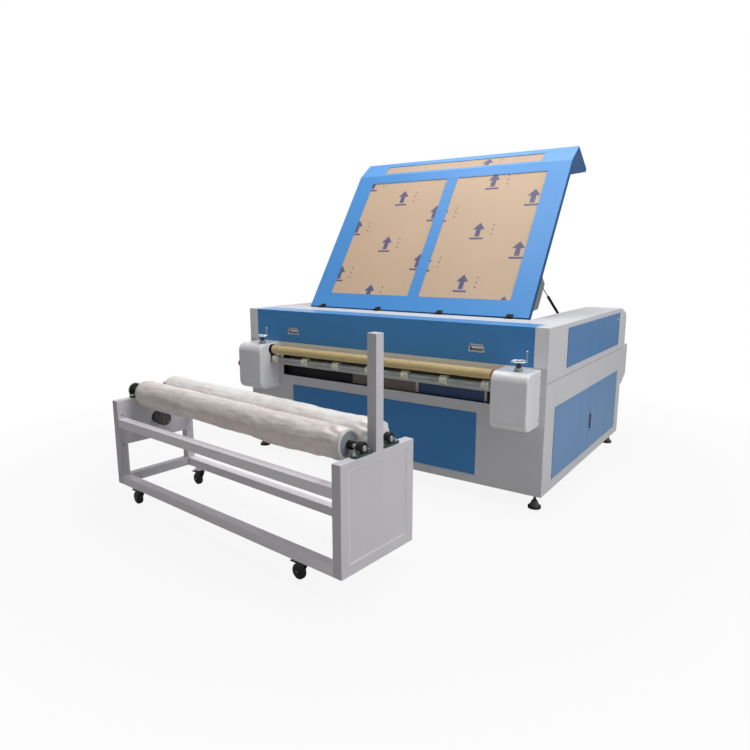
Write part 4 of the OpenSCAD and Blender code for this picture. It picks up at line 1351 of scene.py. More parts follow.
    def screws(self, node: str, box: Span, way: int) -> None:
        """Puts the fixing screws on a gear box's sides, clear of its openings.

        Args:
            node: The gear box.
            box: Its corners.
            way: -1 or 1, pointing away from the machine's middle.
        """
        heads = []
        middle, reach = self.openings
        for x, axis in ((box.low.x, Axis.LEFT), (box.high.x, Axis.X)):
            inner = (x == box.low.x) == (way > 0)
            for share in self.screw_rows:
                z = box.low.z + share * box.size.z
                if not (inner and abs(z - middle) < reach):
                    heads.append(bench.turned("screw", metres(self.screw),
                                              facing((x, box.high.y - self.screw_in, z), axis),
                                              20))
        hand_over(bench.joined(node + "_screws", heads), "machine", STEEL)

    def feed_roller(self) -> None:
        """Winds the paper on the feed roller and adds its journals and tape."""
        box, pivot = Span.of("feed_roller"), pin_of("feed_spin")
        along = facing((0, pivot.y, pivot.z), Axis.X)
        radius, (left, right) = box.size.z / 2, self.inner
        paper = Wrap("paper_roll", radius, left + self.paper_ends[0], right - self.paper_ends[1],
                     self.paper_rings, 64, swell=1.6 * MM, pitch=PAPER.pitch, seed=3.0,
                     inward=True).made(along)
        hand_over(paper, "feed_roller", PAPER, ("feed_roller",))
        ends, body = (left - self.core_in, right + self.core_in), radius - self.core_under
        core = bench.turned("feed_core", [(box.low.x, self.journal), (ends[0], self.journal),
                                          (ends[0], body), (ends[1], body),
                                          (ends[1], self.journal), (box.high.x, self.journal)],
                            along)
        hand_over(core, "feed_roller", BLACK)
        tape = bench.turned("end_tape", metres(self.tape, right, radius), along, 64)
        hand_over(tape, "feed_roller", TAPE_RED)

    def pinch_wheels(self) -> None:
        """Turns one ribbed pinch wheel and sets a copy at each place."""
        pivot, box = pin_of("pinch_spin"), Span.of("pinch_wheels")
        r, half = box.size.z / 2, self.wheel_half
        wheel = bench.turned("wheel_pattern",
                             mirrored([(-half, self.bore), *metres(self.wheel, 0, r)]),
                             facing((0, pivot.y, pivot.z), Axis.X), 48)
        screw = bench.turned("set_screw", metres(self.set_screw, r),
                             facing((self.set_screw_in, pivot.y, pivot.z), Axis.BACK), 12)
        pitch = (box.size.x - 2 * half) / (self.wheel_count - 1)
        for index in range(self.wheel_count):
            move = Matrix.Translation((box.low.x + half + index * pitch, 0, 0))
            hand_over(bench.twin(wheel, f"pinch_wheel_{index + 1}", move), "pinch_shaft", PINCH,
                      ("pinch_wheels",))
            hand_over(bench.twin(screw, f"pinch_screw_{index + 1}", move), "pinch_shaft", BLACK)
        bench.discard(wheel, screw)

    def pinch_shaft(self) -> None:
        """Makes the pinch shaft with the packing film still on it between the wheels."""
        box, pivot, wheels = Span.of("pinch_shaft"), pin_of("pinch_spin"), Span.of("pinch_wheels")
        along = facing((0, pivot.y, pivot.z), Axis.X)
        left, right = self.inner[0] - self.bar_past, self.inner[1] + self.bar_past
        thin = self.bar_end
        shaft = bench.turned("pinch_bar", [(box.low.x, thin), (left, thin),
                                           *rod(left, right, self.bar, self.bar_nose),
                                           (right, thin), (box.high.x, thin)], along, 32)
        hand_over(shaft, "pinch_shaft", STEEL, ("pinch_shaft",))
        gaps, wide = self.wheel_count - 1, 2 * self.wheel_half
        pitch = (wheels.size.x - wide) / gaps
        for index in range(gaps):
            start = wheels.low.x + wide + self.film_gap + index * pitch
            film = Wrap(f"shaft_film_{index + 1}", self.film_radius, start,
                        start + pitch - wide - 2 * self.film_gap, 44, 28, swell=3.2 * MM,
                        pitch=0.05, seed=11.0 + 3 * index).made(along)
            hand_over(film, "pinch_shaft", CLEAR_FILM_SHADED)

    def handwheels(self) -> None:
        """Makes one handwheel with its screw and crank and copies it to both gear boxes."""
        pivot, box = pin_of("handwheel_right_turn"), Span.of("handwheel_right")
        at = facing(pivot + Vector((0, 0, self.rim_up)))
        pieces = [bench.ring("rim", self.rim_radius, self.rim_wire, at)]
        spoke = bench.turned("spoke", metres(self.spoke), None, 16)
        for turn in (0, 120, 240):
            way = Matrix.Rotation(math.radians(turn), 4, "Z") @ facing((0, 0, 0), Axis.X)
            pieces.append(bench.twin(spoke, f"spoke_{turn}", at @ way))
        bench.discard(spoke)
        pieces.append(bench.turned("hub", metres(self.hub), at, 32))
        foot, cap, top = (height - pivot.z - self.rim_up for height in
                          (box.low.z, Span.of("bearing_plates").high.z, box.high.z))
        pieces.append(bench.turned("screw", self.thread(foot, cap), at, 20, 30))
        crank = facing(at.translation + Vector((self.rim_radius, 0, 0)))
        steps = metres(self.crank_foot) + metres(self.crank_knob, top)
        pieces.append(bench.turned("crank", steps, crank, 24))
        seat = facing((pivot.x, pivot.y, Span.of("gearbox_right").high.z))
        moves = [(side, Matrix.Translation(pin_of(f"handwheel_{side}_turn") - pivot))
                 for side, _ in self.sides]
        for name, finish, steps in self.collars:
            part = bench.turned(name, metres(steps), seat, 40)
            for side, move in moves:
                hand_over(bench.twin(part, f"{name}_{side}", move), "machine", finish)
            bench.discard(part)
        wheel = bench.joined("handwheel_pattern", pieces)
        for side, move in moves:
            hand_over(bench.twin(wheel, f"handwheel_{side}_crank", move), f"handwheel_{side}",
                      WHEEL_STEEL, (f"handwheel_{side}",))
        bench.discard(wheel)

    def thread(self, foot: float, cap: float) -> Profile:
        """Draws the pressure screw with its thread.

        Args:
            foot: Its lower end, from the rim.
            cap: The top of the plate that it turns in.

        Returns:
            Its profile.
        """
        start = cap - self.thread_from
        steps = [(foot, 3.8 * MM), (cap - 30 * MM, 3.8 * MM), (cap - 30 * MM, 5.2 * MM)]
        for index in range(int((self.thread_end - start) / self.pitch)):
            steps += metres(((0, 5), (self.pitch / MM / 2, 5.9)), start + index * self.pitch)
        return steps + [(self.thread_end, 5.2 * MM)]


@dataclass
class Wrap:
    """A sheet of paper or film wound round a roller, as a closed shell with its chart."""

    name: str
    radius: float
    start: float
    end: float
    rings: int
    facets: int
    swell: float
    pitch: float = 0.3
    seed: float = 0.0
    sag: float = 0.0
    neck: float = 0.0
    inward: bool = False
    coarse: float = 4.0
    folds: float = 17.0
    creases: float = 9.0
    rumples: float = 30.0
    gathered: float = 22 * MM
    rumpled: float = 160 * MM

    def reach(self, along: float, angle: float) -> float:
        """Gives how far the sheet stands from the axis at one place.

        Args:
            along: Distance along the roller.
            angle: Angle round it, with the bottom at -90 degrees.

        Returns:
            The radius there.
        """
        c, s = math.cos(angle), math.sin(angle)
        broad = noise.noise(Vector((along * self.coarse + self.seed, c * 0.9, s * 0.9)))
        folds = noise.noise(Vector((along * self.folds + self.seed * 2, c * 1.7, s * 1.7)))
        creases = 1 - abs(noise.noise(Vector((along * self.creases - self.seed,
                                              c * 3.6 + 5, s * 3.6))))
        lift = self.swell * (0.75 * broad + 0.45 * folds + 0.35 * (creases - 0.7) * 2)
        if self.inward:
            turned = angle / (2 * math.pi)
            wound = ((along + turned * self.pitch) % self.pitch) / self.pitch
            lift = -abs(lift) * 0.8 - self.swell * 0.5 * wound
        slack = self.sag * (0.55 + 1.1 * noise.noise(Vector((along * 3.1 + self.seed, 7.0, 1.0))))
        lift += max(slack, 0.0) * max(-s, 0.0) ** 1.5
        if not self.neck:
            return self.radius + lift
        edge = min(along - self.start, self.end - along)
        rumple = noise.noise(Vector((along * self.rumples, c * 3.2 + self.seed, s * 3.2)))
        lift += (math.exp(-((self.end - along) / self.rumpled) ** 2) * self.swell * 1.5) * rumple
        return self.radius + lift - self.neck * math.exp(-(edge / self.gathered) ** 2)

    def made(self, at: Matrix) -> Thing:
        """Models the sheet round the frame's Z axis.

        Args:
            at: The frame; the chart's bottom side is its lowest.

        Returns:
            The piece.
        """
        bench.clear()
        length = self.end - self.start
        bpy.ops.mesh.primitive_cylinder_add(vertices=self.facets, radius=self.radius,
                                            depth=length, end_fill_type="TRIFAN",
                                            location=(0, 0, self.start + length / 2))
        piece = bench.settle(bench.started(self.name))
        with bench.shaping(piece) as hand:
            hand.pick("EDGE", lambda edge: abs(step_of(edge).z) > length / 2)
            bpy.ops.mesh.subdivide(number_cuts=self.rings)
            hand.outward()
        down = at.to_3x3().inverted() @ Vector((0, 0, -1))
        tilt = math.atan2(down.y, down.x) + math.pi / 2
        for corner in piece.data.vertices:
            flat = math.hypot(corner.co.x, corner.co.y)
            if flat < self.radius * 0.5:
                continue
            angle = math.atan2(corner.co.y, corner.co.x)
            stretch = self.reach(corner.co.z, angle - tilt) / flat
            corner.co.x *= stretch
            corner.co.y *= stretch
        self.chart(piece.data)
        bench.smooth(piece, 60)
        return bench.settle(piece, at)

    @staticmethod
    def chart(mesh: bpy.types.Mesh) -> None:
        """Charts the sheet by its distance along the roller and its share of a turn.

        Args:
            mesh: Its mesh, with the roller along Z.
        """
        chart = mesh.uv_layers.new(name="wrap")
        for face in mesh.polygons:
            spots = [mesh.vertices[mesh.loops[k].vertex_index].co for k in face.loop_indices]
            turns = [math.atan2(at.y, at.x) / (2 * math.pi) for at in spots]
            over = max(turns) - min(turns) > 0.5
            for k, at, turn in zip(face.loop_indices, spots, turns):
                chart.data[k].uv = (at.z, turn + 1 if over and turn < 0 else turn)


@dataclass
class Lid:
    """The raised lid with its film-covered panes and hinges."""

    edge: float = 1.2 * MM
    hinge_edge: float = 0.8 * MM
    film: float = 2.4 * MM
    ripple: float = 0.5 * MM
    leaf: float = 44 * MM
    top: float = -8 * MM
    rim: float = 40 * MM
    slope_length: float = 171 * MM
    slope_angle: float = 18.0
    cheek: float = 0.8 * MM
    cheek_in: float = 1.6 * MM
    bracket: float = 4.8 * MM
    bracket_foot: float = 14.5 * MM
    strut_pin: Pair = (309 * MM, 120 * MM)
    hinge_count: int = 4
    screw: Steps = ((-0.5, 3.6), (0.6, 3.6), (1.8, 2.4), (1.8, 1))
    screw_out: float = 14 * MM
    screw_rows: tuple[tuple[str, float], ...] = (("lid", 17.5 * MM), ("machine", -16 * MM))

    def __post_init__(self) -> None:
        """Finds the lid's own frame from its hinge."""
        hinge = joint("lid_hinge")
        turn = Matrix.Rotation(-math.radians(hinge["range_deg"][0]), 4, "X")
        self.frame = Matrix.Translation(hinge["pos_m"]) @ turn

    def build(self) -> None:
        """Makes the frame, panes and hinges."""
        bench.softened("lid_frame", self.edge)
        for node in ("lid_hinges", "hinge_bases"):
            bench.softened(node, self.hinge_edge)
        self.panes()
        self.hinge_screws()
        self.ends()

    def cheek_outline(self, box: Span) -> Profile:
        """Draws a cheek plate, a little inside the lid's end.

        Args:
            box: The lid frame's corners.

        Returns:
            Its corners along and across the lid.
        """
        slack, turn = self.cheek_in, math.radians(self.slope_angle)
        crease = box.high.y - self.slope_length * math.cos(turn)
        nose = self.top - self.slope_length * math.sin(turn)
        back, tip, lip = box.low.y + slack, box.high.y - slack, box.low.z + slack
        high, low = self.top - slack, self.top - self.rim + slack
        return [(back, high), (crease, high), (tip, nose - slack), (tip, lip),
                (tip - 24 * MM, lip), (crease - 90 * MM, low), (back, low)]

    def bracket_outline(self) -> Profile:
        """Draws a strut bracket's sheath below the lid's rim.

        Returns:
            Its corners along and across the lid.
        """
        along, drop = self.strut_pin
        foot, top = -drop - self.bracket_foot, self.top - self.rim - 1 * MM
        return [(along - 236 * MM, top), (along + 33.5 * MM, top),
                (along + 16.5 * MM, foot), (along - 168 * MM, foot)]

    def ends(self) -> None:
        """Lays the cheek plates, dark blue as painted shade, and the brackets' grey sheaths on
        both ends of the lid.
        """
        box = Span.of("lid_frame", self.frame)
        end, skin = box.high.x, 0.4 * MM
        for name, outline, starts, thick, edge, finish, slot in (
                ("lid_cheek", self.cheek_outline(box), (box.low.x - 0.6 * MM, end - 0.2 * MM),
                 self.cheek, 0.3 * MM, CHEEK_SHADE_BLUE, "lid_blue_paint"),
                ("strut_bracket", self.bracket_outline(),
                 (-end + 9 * MM - skin, end - 13 * MM - skin), self.bracket, 0.8 * MM,
                 BRACKET_GREY, "bright_steel")):
            for side, start in zip(("left", "right"), starts):
                plate = bench.prism(f"{name}_{side}", outline, 0, start, start + thick)
                bench.rounded(plate, edge)
                hand_over(bench.settle(plate, self.frame), "lid", finish)

    def panes(self) -> None:
        """Covers each pane with printed film, mapped in metres."""
        islands = self.islands(frame["nodes"]["lid_windows"], self.frame.inverted())
        islands.sort(key=lambda one: (one.middle.y, one.middle.x))
        for index, box in enumerate(islands):
            sloped = box.size.z > 8 * MM
            tilt = math.atan2(box.size.z - 4 * MM, box.size.y) if sloped else 0.0
            deep = box.size.y / math.cos(tilt)
            flat = Matrix.Translation(box.middle) @ Matrix.Rotation(-tilt, 4, "X")
            self.pane(f"pane_{index + 1}", box.size.x - 2 * MM, deep - 2 * MM, self.frame @ flat,
                      0.11 + 1.37 * index, SLOPE_FILM_SHADED if sloped else FILM)

    @staticmethod
    def islands(cad: Thing, back: Matrix) -> list[Span]:
        """Splits the CAD panes into boxes in the lid's frame.

        Args:
            cad: The CAD piece.
            back: The move from the row's frame into the lid's.

        Returns:
            One box for each pane.
        """
        mesh = bmesh.new()
        mesh.from_mesh(cad.data)
        bmesh.ops.remove_doubles(mesh, verts=mesh.verts, dist=WELD)
        left, found = set(mesh.verts), []
        while left:
            heap, group = [left.pop()], []
            while heap:
                corner = heap.pop()
                group.append(back @ corner.co)
                near = {edge.other_vert(corner) for edge in corner.link_edges} & left
                left -= near
                heap.extend(near)
            found.append(Span.over(group))
        mesh.free()
        return found

    def pane(self, name: str, wide: float, deep: float, at: Matrix, shift: float,
             film: PrintedFilm) -> None:
        """Makes one pane with its film.

        Args:
            name: The pane's name.
            wide: Its width.
            deep: Its length along the lid.
            at: The frame at its middle.
            shift: Moves the print, so that no two panes start alike.
            film: The film laid on it.
        """
        bench.clear()
        bpy.ops.mesh.primitive_grid_add(x_subdivisions=48, y_subdivisions=max(8, int(deep * 60)),
                                        size=1)
        piece = bench.started(name)
        piece.scale = (wide, deep, 1)
        bench.settle(piece)
        mesh = piece.data
        chart = mesh.uv_layers.new(name="film")
        for loop in mesh.loops:
            place = mesh.vertices[loop.vertex_index].co
            chart.data[loop.index].uv = (place.x + shift + 5, place.y + shift * 0.7 + 5)
        for corner in mesh.vertices:
            where = Vector((corner.co.x * 3.1 + shift, corner.co.y * 3.1, shift))
            corner.co.z = 0.5 * self.film + self.ripple * (noise.noise(where) - 0.6)
        bench.modified(piece, "SOLIDIFY", thickness=self.film, offset=-1.0)
        bench.smooth(piece, 40)
        hand_over(bench.settle(piece, at), "lid", film, ("lid_windows",))

    def hinge_screws(self) -> None:
        """Puts two screws in each hinge leaf, on the lid and on the casing."""
        hinges = Span.of("lid_hinges", self.frame)
        gaps = self.hinge_count - 1
        places = [(index - gaps / 2) * (hinges.size.x - self.leaf) / gaps + way * self.screw_out
                  for index in range(self.hinge_count) for way in (-1, 1)]
        frames = (self.frame, Matrix.Translation(self.frame.translation))
        for (body, y), at in zip(self.screw_rows, frames):
            heads = [bench.turned("leaf_screw", metres(self.screw),
                                  at @ facing((x, y, self.top + 3 * MM)), 16) for x in places]
            hand_over(bench.joined(f"hinge_screws_{body}", heads), body, PLASTIC)


@dataclass
class Works:
    """The struts and what stands inside: bed, gantry, head, laser tube and controls."""

    edges: tuple[tuple[str, float], ...] = (
        ("strut_tube_left", 0.6), ("strut_rod_left", 0.3), ("strut_tube_right", 0.6),
        ("strut_rod_right", 0.3), ("bed_frame", 0.8), ("gantry", 1.2), ("laser_head", 1.2),
        ("tube_holders", 1.0), ("power_supply", 1.0), ("control_panel", 0.5),
        ("drive_roller", 0.8), ("idler_roller", 0.8))
    glass: float = 16 * MM
    key_columns: int = 4
    key_rows: int = 3
    key_pitch: Pair = (24 * MM, 18 * MM)
    key_low: Point = (1.5 * MM, 2.6 * MM, 1.2 * MM)
    key_high: Point = (14.5 * MM, 4.2 * MM, 8.8 * MM)
    key_edge: float = 0.7 * MM
    display: Pair = (73 * MM, 115 * MM)
    display_edge: float = 0.4 * MM
    knob: Steps = ((0, 7.9), (14.5, 7.9), (14.5, 15), (15.5, 19.2), (18, 19.9), (22, 18.6),
                   (25.2, 15), (26.6, 9), (27, 3))
    collar: Steps = ((0, 21.5), (0, 24.5), (3, 24), (4.5, 21.5))

    def build(self) -> None:
        """Makes the struts, the inner pieces and the controls."""
        for node, edge in self.edges:
            bench.softened(node, edge * MM)
        self.electrodes()
        self.keys()
        self.stop()

    def electrodes(self) -> None:
        """Puts the metal cathode and anode inside the glass laser tube."""
        box = Span.of("laser_tube")
        at = facing((0, box.middle.y, box.middle.z), Axis.X)
        reach = box.size.z / 2 - self.glass
        hole, middle, nose = reach * 0.4, reach * 1.04, 10 * MM
        for name, low, high in (("tube_cathode", box.low.x + 0.12, box.low.x + 0.34),
                                ("tube_anode", box.high.x - 0.20, box.high.x - 0.10)):
            metal = bench.turned(name, [(low, hole), (low, reach), (low + nose, middle),
                                        (high - nose, middle), (high, reach), (high, hole)],
                                 at, 40)
            hand_over(metal, "machine", ALUMINIUM)

    def keys(self) -> None:
        """Caps the control panel's keys and glazes its display."""
        box = Span.of("control_panel")
        corner = Vector((box.low.x + 12 * MM, box.low.y + 12 * MM, box.low.z + 10 * MM))
        for column in range(self.key_columns):
            for row in range(self.key_rows):
                key = corner + Vector((column * self.key_pitch[0], 0, row * self.key_pitch[1]))
                cap = bench.block(f"key_{column}_{row}", key + Vector(self.key_low),
                                  key + Vector(self.key_high), self.key_edge)
                hand_over(cap, "machine", KEY_GREY)
        low, high = self.display
        glass = bench.block("display_glass",
                            (corner.x + 3 * MM, corner.y + 1.6 * MM, box.low.z + low),
                            (box.high.x - 71 * MM, corner.y + 2.8 * MM, box.low.z + high),
                            self.display_edge)
        hand_over(glass, "machine", SCREEN)

    def stop(self) -> None:
        """Turns the red stop button and its yellow collar."""
        box = Span.of("stop_button")
        at = facing((box.middle.x, box.low.y, box.middle.z), Axis.Y)
        hand_over(bench.turned("stop_knob", metres(self.knob), at, 48), "stop_button", RED,
                  ("stop_button",))
        hand_over(bench.turned("stop_collar", metres(self.collar), at, 48), "machine",
                  COLLAR_YELLOW)


# ---------------- cart
@dataclass(frozen=True)
class CartRoller:
    """How the film hangs on one of the cart's rollers."""

    row: str
    seed: float
    tail: float
    sag: float
    film: Finish


@dataclass
class Cart:
    """The feeder cart with its wrapped rollers, bearings, motor and casters."""

    rollers: tuple[CartRoller, ...] = (CartRoller("near", 5.0, -12 * MM, 14 * MM, MILKY),
                                       CartRoller("far", 23.0, 22 * MM, 9 * MM, PALE_FILM))
    edge: float = 1.4 * MM
    beam_edge: float = 1.9 * MM
    fork_edge: float = 0.7 * MM
    tube: float = 50 * MM
    field_depth: float = 4 * MM
    bead: float = 5 * MM
    bead_edge: float = 0.9 * MM
    bolt_drops: Pair = (85 * MM, 265 * MM)
    bolt_hole: Steps = ((-20, 5.5), (5, 5.5))
    roller_end: float = 95 * MM
    film_radius: float = 73 * MM
    film_swell: float = 5.6 * MM
    film_neck: float = 6 * MM
    film_gap: float = 4 * MM
    end_pieces: tuple[tuple[str, Steps, int, Finish, str], ...] = (
        ("rim", ((-16, 62), (-16, 69), (-3, 70), (0, 68), (0, 59), (-4, 57), (-6, 50)), 72,
         RIM_WHITE, "wrapped_roller"),
        ("disc", ((-10, 56), (-3, 56), (-2.2, 54.8), (-2.2, 47), (-3.5, 46), (-3.5, 30),
                  (-2, 29), (-2, 19)), 72, DISC_GREY, "wrapped_roller"),
        ("hub", ((-3, 19.5), (4, 19.5), (6, 17.8), (14, 16.8), (16, 19.5), (21, 19.5), (22, 18),
                 (22, 10.5)), 40, BLACK, "black_hinge_paint"))
    shaft: float = 10 * MM
    shaft_nose: float = 1.2 * MM
    shaft_centre: Steps = ((0, 3), (-3, 1.2))
    sprocket_start: float = -28 * MM
    sprocket_bore: float = 10.2 * MM
    sprocket_edge: float = 0.7 * MM
    tooth: Steps = ((0.0, 6), (0.22, 5.5), (0.40, 0), (0.60, 0), (0.78, 5.5))
    foot: Steps = ((-60, 0), (60, 0), (60, 9), (56, 12), (-56, 12), (-60, 9))
    foot_half: float = 19 * MM
    foot_round: float = 12 * MM
    web_foot: Steps = ((-36, 10), (36, 10))
    web_top: Steps = ((27, -4), (-27, -4))
    web_half: float = 11 * MM
    housing: Steps = ((-15, 17.8), (-15, 24.5), (-12.5, 27), (12.5, 27), (15, 24.5), (15, 17.8),
                      (11.5, 17.5), (11.5, 10.1))
    race: Steps = ((11, 10.1), (11, 14), (19, 13.8), (20, 12.8), (20, 10.1))
    washer: Steps = ((11.8, 10), (13.5, 10), (14, 9.2))
    bolt: Steps = ((13.8, 7.8), (19, 7.8), (20, 6.6))
    bolt_out: float = 46 * MM
    motor_radius: float = 40 * MM
    flange: Steps = ((0, -6), (0, -4), (8, -4), (8, -7), (28, -7), (30, -4), (32.2, -4),
                     (32.2, -12))
    shell_front: Steps = ((32, -3), (33, -1), (38, 0))
    fin: Steps = ((40, -3), (43, -3), (43.5, 0), (47.5, 0))
    fin_pitch: float = 8
    fin_count: int = 6
    shell_back: Steps = ((89, -1), (90, -6), (90, -10), (96, -11), (97, -14))
    cap_screw: Steps = ((0, 3), (0.8, 3), (1.2, 2.5), (1.2, 1.4), (0.4, 1.2))
    cap_circle: float = 22 * MM
    cap_face: float = 96.2 * MM
    rod_nose: float = 1 * MM
    tyre: Steps = ((-12, -5), (-10.5, -2), (-7, 0))
    tyre_half: float = 12 * MM
    axle_steps: Steps = ((-20, 3.4), (-19.5, 4), (-11, 4), (-11, 10.5))

    def __post_init__(self) -> None:
        """Finds the cart's own frame from its near roller and its end box."""
        axle = joint("near_roller_spin")
        way, place = axle["axis"], axle["pos_m"]
        turn = Matrix.Rotation(math.atan2(way[1], way[0]), 4, "Z")
        self.frame = Matrix.Translation((place[0], place[1], 0)) @ turn
        front = Span.of("cart_end_box", self.frame).low.y
        self.frame = self.frame @ Matrix.Translation((0, front, 0))
        self.right = Span.of("cart_end_box", self.frame)
        self.left = Span.of("cart_left_end", self.frame)
        self.length = -self.left.low.x

    def axle(self, name: str) -> Vector:
        """Gives where a joint's axis stands in the cart's frame."""
        return self.frame.inverted() @ pin_of(name)

    def facing(self, x: float, y: float, z: float, axis: Axis = Axis.X) -> Matrix:
        """Gives a frame at a point of the cart whose Z points along one of its axes."""
        return self.frame @ facing((x, y, z), axis)

    def build(self) -> None:
        """Makes the cart."""
        bench.softened("cart_end_box", self.edge)
        self.end_field()
        bench.softened("cart_beams", self.beam_edge, 3)
        self.left_end()
        for roller in self.rollers:
            self.roller(roller)
        self.bearings()
        self.motor()
        self.casters()

    def end_field(self) -> None:
        """Runs a thin bead, lighter as a painted highlight, round the sunk field of the end box.
        """
        low, high, bead = self.right.low, self.right.high, self.bead
        x = high.x - self.field_depth
        y0, y1 = low.y + self.tube, high.y - self.tube
        z0, z1 = low.z + self.tube, self.left.high.z - self.tube + 15 * MM
        bars = [bench.block("bead", (x - 1 * MM, a, c), (x + 2.2 * MM, b, d), self.bead_edge)
                for a, b, c, d in ((y0, y0 + bead, z0, z1), (y1 - bead, y1, z0, z1),
                                   (y0, y1, z0, z0 + bead), (y0, y1, z1 - bead, z1))]
        hand_over(bench.settle(bench.joined("end_field_bead", bars), self.frame), "cart",
                  BEAD_HIGHLIGHT_GREY)

    def left_end(self) -> None:
        """Drills the spare bolt holes in the left end frame."""
        skin, corner = bench.softened("cart_left_end", self.edge), self.left.high
        for y in (self.tube / 2, corner.y - self.tube / 2):
            for drop in self.bolt_drops:
                bench.cut(skin, bench.turned("bolt_hole", metres(self.bolt_hole),
                                             self.facing(corner.x, y, corner.z - drop), 20))
        bench.smooth(skin)

    def roller(self, one: CartRoller) -> None:
        """Makes one roller: wrapped body, end rims, discs, hubs and shaft.

        Args:
            one: Which roller, and how its film hangs.
        """
        body, pivot = f"{one.row}_roller", self.axle(f"{one.row}_roller_spin")
        along = self.facing(0, pivot.y, pivot.z)
        left, right = -self.length + self.roller_end, -self.roller_end
        film = Wrap(f"{one.row}_film", self.film_radius, left + self.film_gap, right + one.tail,
                    300, 88, swell=self.film_swell, seed=one.seed, sag=one.sag,
                    neck=self.film_neck).made(along)
        hand_over(film, body, one.film, (body,))
        for side, x, axis in (("left", left, Axis.LEFT), ("right", right, Axis.X)):
            for name, steps, facets, finish, slot in self.end_pieces:
                end = bench.turned(f"{one.row}_{name}_{side}", metres(steps),
                                   self.facing(x, pivot.y, pivot.z, axis), facets)
                hand_over(end, body, finish)
        box = Span.of(body, self.frame)
        shaft = bench.turned(f"{one.row}_shaft",
                             rod(box.low.x, box.high.x, self.shaft, self.shaft_nose)
                             + metres(self.shaft_centre, box.high.x), along, 32)
        hand_over(shaft, body, STEEL)
        if one.row == "near":
            self.sprocket("near_sprocket", body, along, 46 * MM, 24)

    def sprocket(self, name: str, body: str, along: Matrix, radius: float, teeth: int) -> None:
        """Cuts a chain wheel and its hub.

        Args:
            name: The wheel's name.
            body: The body that it rides on.
            along: The frame whose Z is its axle.
            radius: Its outer radius.
            teeth: Number of teeth.
        """
        start, bore = -self.length + self.sprocket_start, self.sprocket_bore
        outline = []
        for index in range(teeth):
            for share, depth in self.tooth:
                angle, reach = 2 * math.pi * (index + share) / teeth, radius - depth * MM
                outline.append((reach * math.cos(angle), reach * math.sin(angle)))
        wheel = bench.prism(name, outline, 2, start + 3 * MM, start + 9 * MM)
        bench.rounded(wheel, self.sprocket_edge)
        end, slim, wide = start + 12 * MM, radius * 0.42, radius * 0.45
        hub = bench.turned("hub", [(start, bore), (start, slim), (start + 1 * MM, wide),
                                   (end - 1 * MM, wide), (end, slim), (end, bore)], None, 40)
        hand_over(bench.settle(bench.joined(name, [wheel, hub]), along), body, MOTOR_BLACK)

    def bearings(self) -> None:
        """Makes one pillow block with its race and bolts and sets four copies."""
        base = self.left.high.z - self.axle("near_roller_spin").z
        along = facing((0, 0, 0), Axis.X)
        foot = bench.prism("foot", metres(self.foot, 0, base), 0, -self.foot_half, self.foot_half)
        with bench.shaping(foot) as hand:
            end, slack = self.foot[1][0] * MM, 0.1 * MM
            hand.pick("EDGE", lambda edge: abs(abs(edge.verts[0].co.y) - end) < slack
                      and abs(step_of(edge).z) > 4 * MM and abs(step_of(edge).y) < FLUSH)
            hand.round(self.foot_round, 4)
        bench.rounded(foot, 1.2 * MM, 2, 50)
        web = bench.prism("web", metres(self.web_foot, 0, base) + metres(self.web_top), 0,
                          -self.web_half, self.web_half)
        bench.rounded(web, 3 * MM, 3)
        ring = bench.turned("ring", metres(self.housing), along, 56)
        iron = bench.joined("iron", [foot, web])
        parts = [bench.turned("race", metres(self.race), along, 48)]
        for y in (-self.bolt_out, self.bolt_out):
            at = facing((0, y, 0))
            parts.append(bench.turned("washer", metres(self.washer, base), at, 24))
            parts.append(bench.turned("head", metres(self.bolt, base), at, 6, 20))
        steel = bench.joined("steel", parts)
        for roller in self.rollers:
            place = self.axle(f"{roller.row}_roller_spin")
            for side, centre, turn in (("right", -self.tube / 2, 0.0),
                                       ("left", -self.length + self.tube / 2, math.pi)):
                move = (self.frame @ Matrix.Translation((centre, place.y, place.z))
                        @ Matrix.Rotation(turn, 4, "Z"))
                corner = f"{roller.row}_{side}"
                hand_over(bench.twin(iron, f"bearing_{corner}", move), "cart", GREEN_IRON,
                          ("roller_bearings",))
                hand_over(bench.twin(ring, f"housing_{corner}", move), "cart", BLACK)
                hand_over(bench.twin(steel, f"race_{corner}", move), "cart", STEEL)
        bench.discard(ring, iron, steel)

    def motor(self) -> None:
        """Makes the finned gear motor with its flange, terminal box, screws and shaft."""
        pivot, r = self.axle("motor_spin"), self.motor_radius
        along = self.facing(0, pivot.y, pivot.z)
        x = Span.of("drive_motor", self.frame).low.x
        flange = bench.turned("motor_flange", metres(self.flange, x, r), along, 56)
        hand_over(flange, "cart", MOTOR_BLACK, ("drive_motor",))
        fins = [(place + index * self.fin_pitch, wide) for index in range(self.fin_count)
                for place, wide in self.fin]
        shell = bench.turned("motor_shell",
                             metres([*self.shell_front, *fins, *self.shell_back], x, r),
                             along, 56)
        lug = bench.block("terminal_box", (x + 42 * MM, pivot.y - 21 * MM, pivot.z + 30 * MM),
                          (x + 78 * MM, pivot.y + 21 * MM, pivot.z + 50 * MM), 3 * MM, 3)
        bench.settle(lug, self.frame)
        hand_over(bench.joined("motor_body", [shell, lug]), "cart", MOTOR_GREY,
                  ("drive_motor",))
        corners = [math.radians(turn) for turn in (45, 135, 225, 315)]
        screws = [bench.turned("cap_screw", metres(self.cap_screw),
                               self.facing(x + self.cap_face,
                                           pivot.y + self.cap_circle * math.cos(corner),
                                           pivot.z + self.cap_circle * math.sin(corner)), 16)
                  for corner in corners]
        hand_over(bench.joined("motor_screws", screws), "cart", STEEL)
        shaft = Span.of("motor_shaft", self.frame)
        bar = bench.turned("motor_rod", rod(shaft.low.x, shaft.high.x, self.shaft, self.rod_nose),
                           along, 32)
        hand_over(bar, "motor_shaft", STEEL, ("motor_shaft",))
        self.sprocket("motor_sprocket", "motor_shaft", along, 30 * MM, 16)

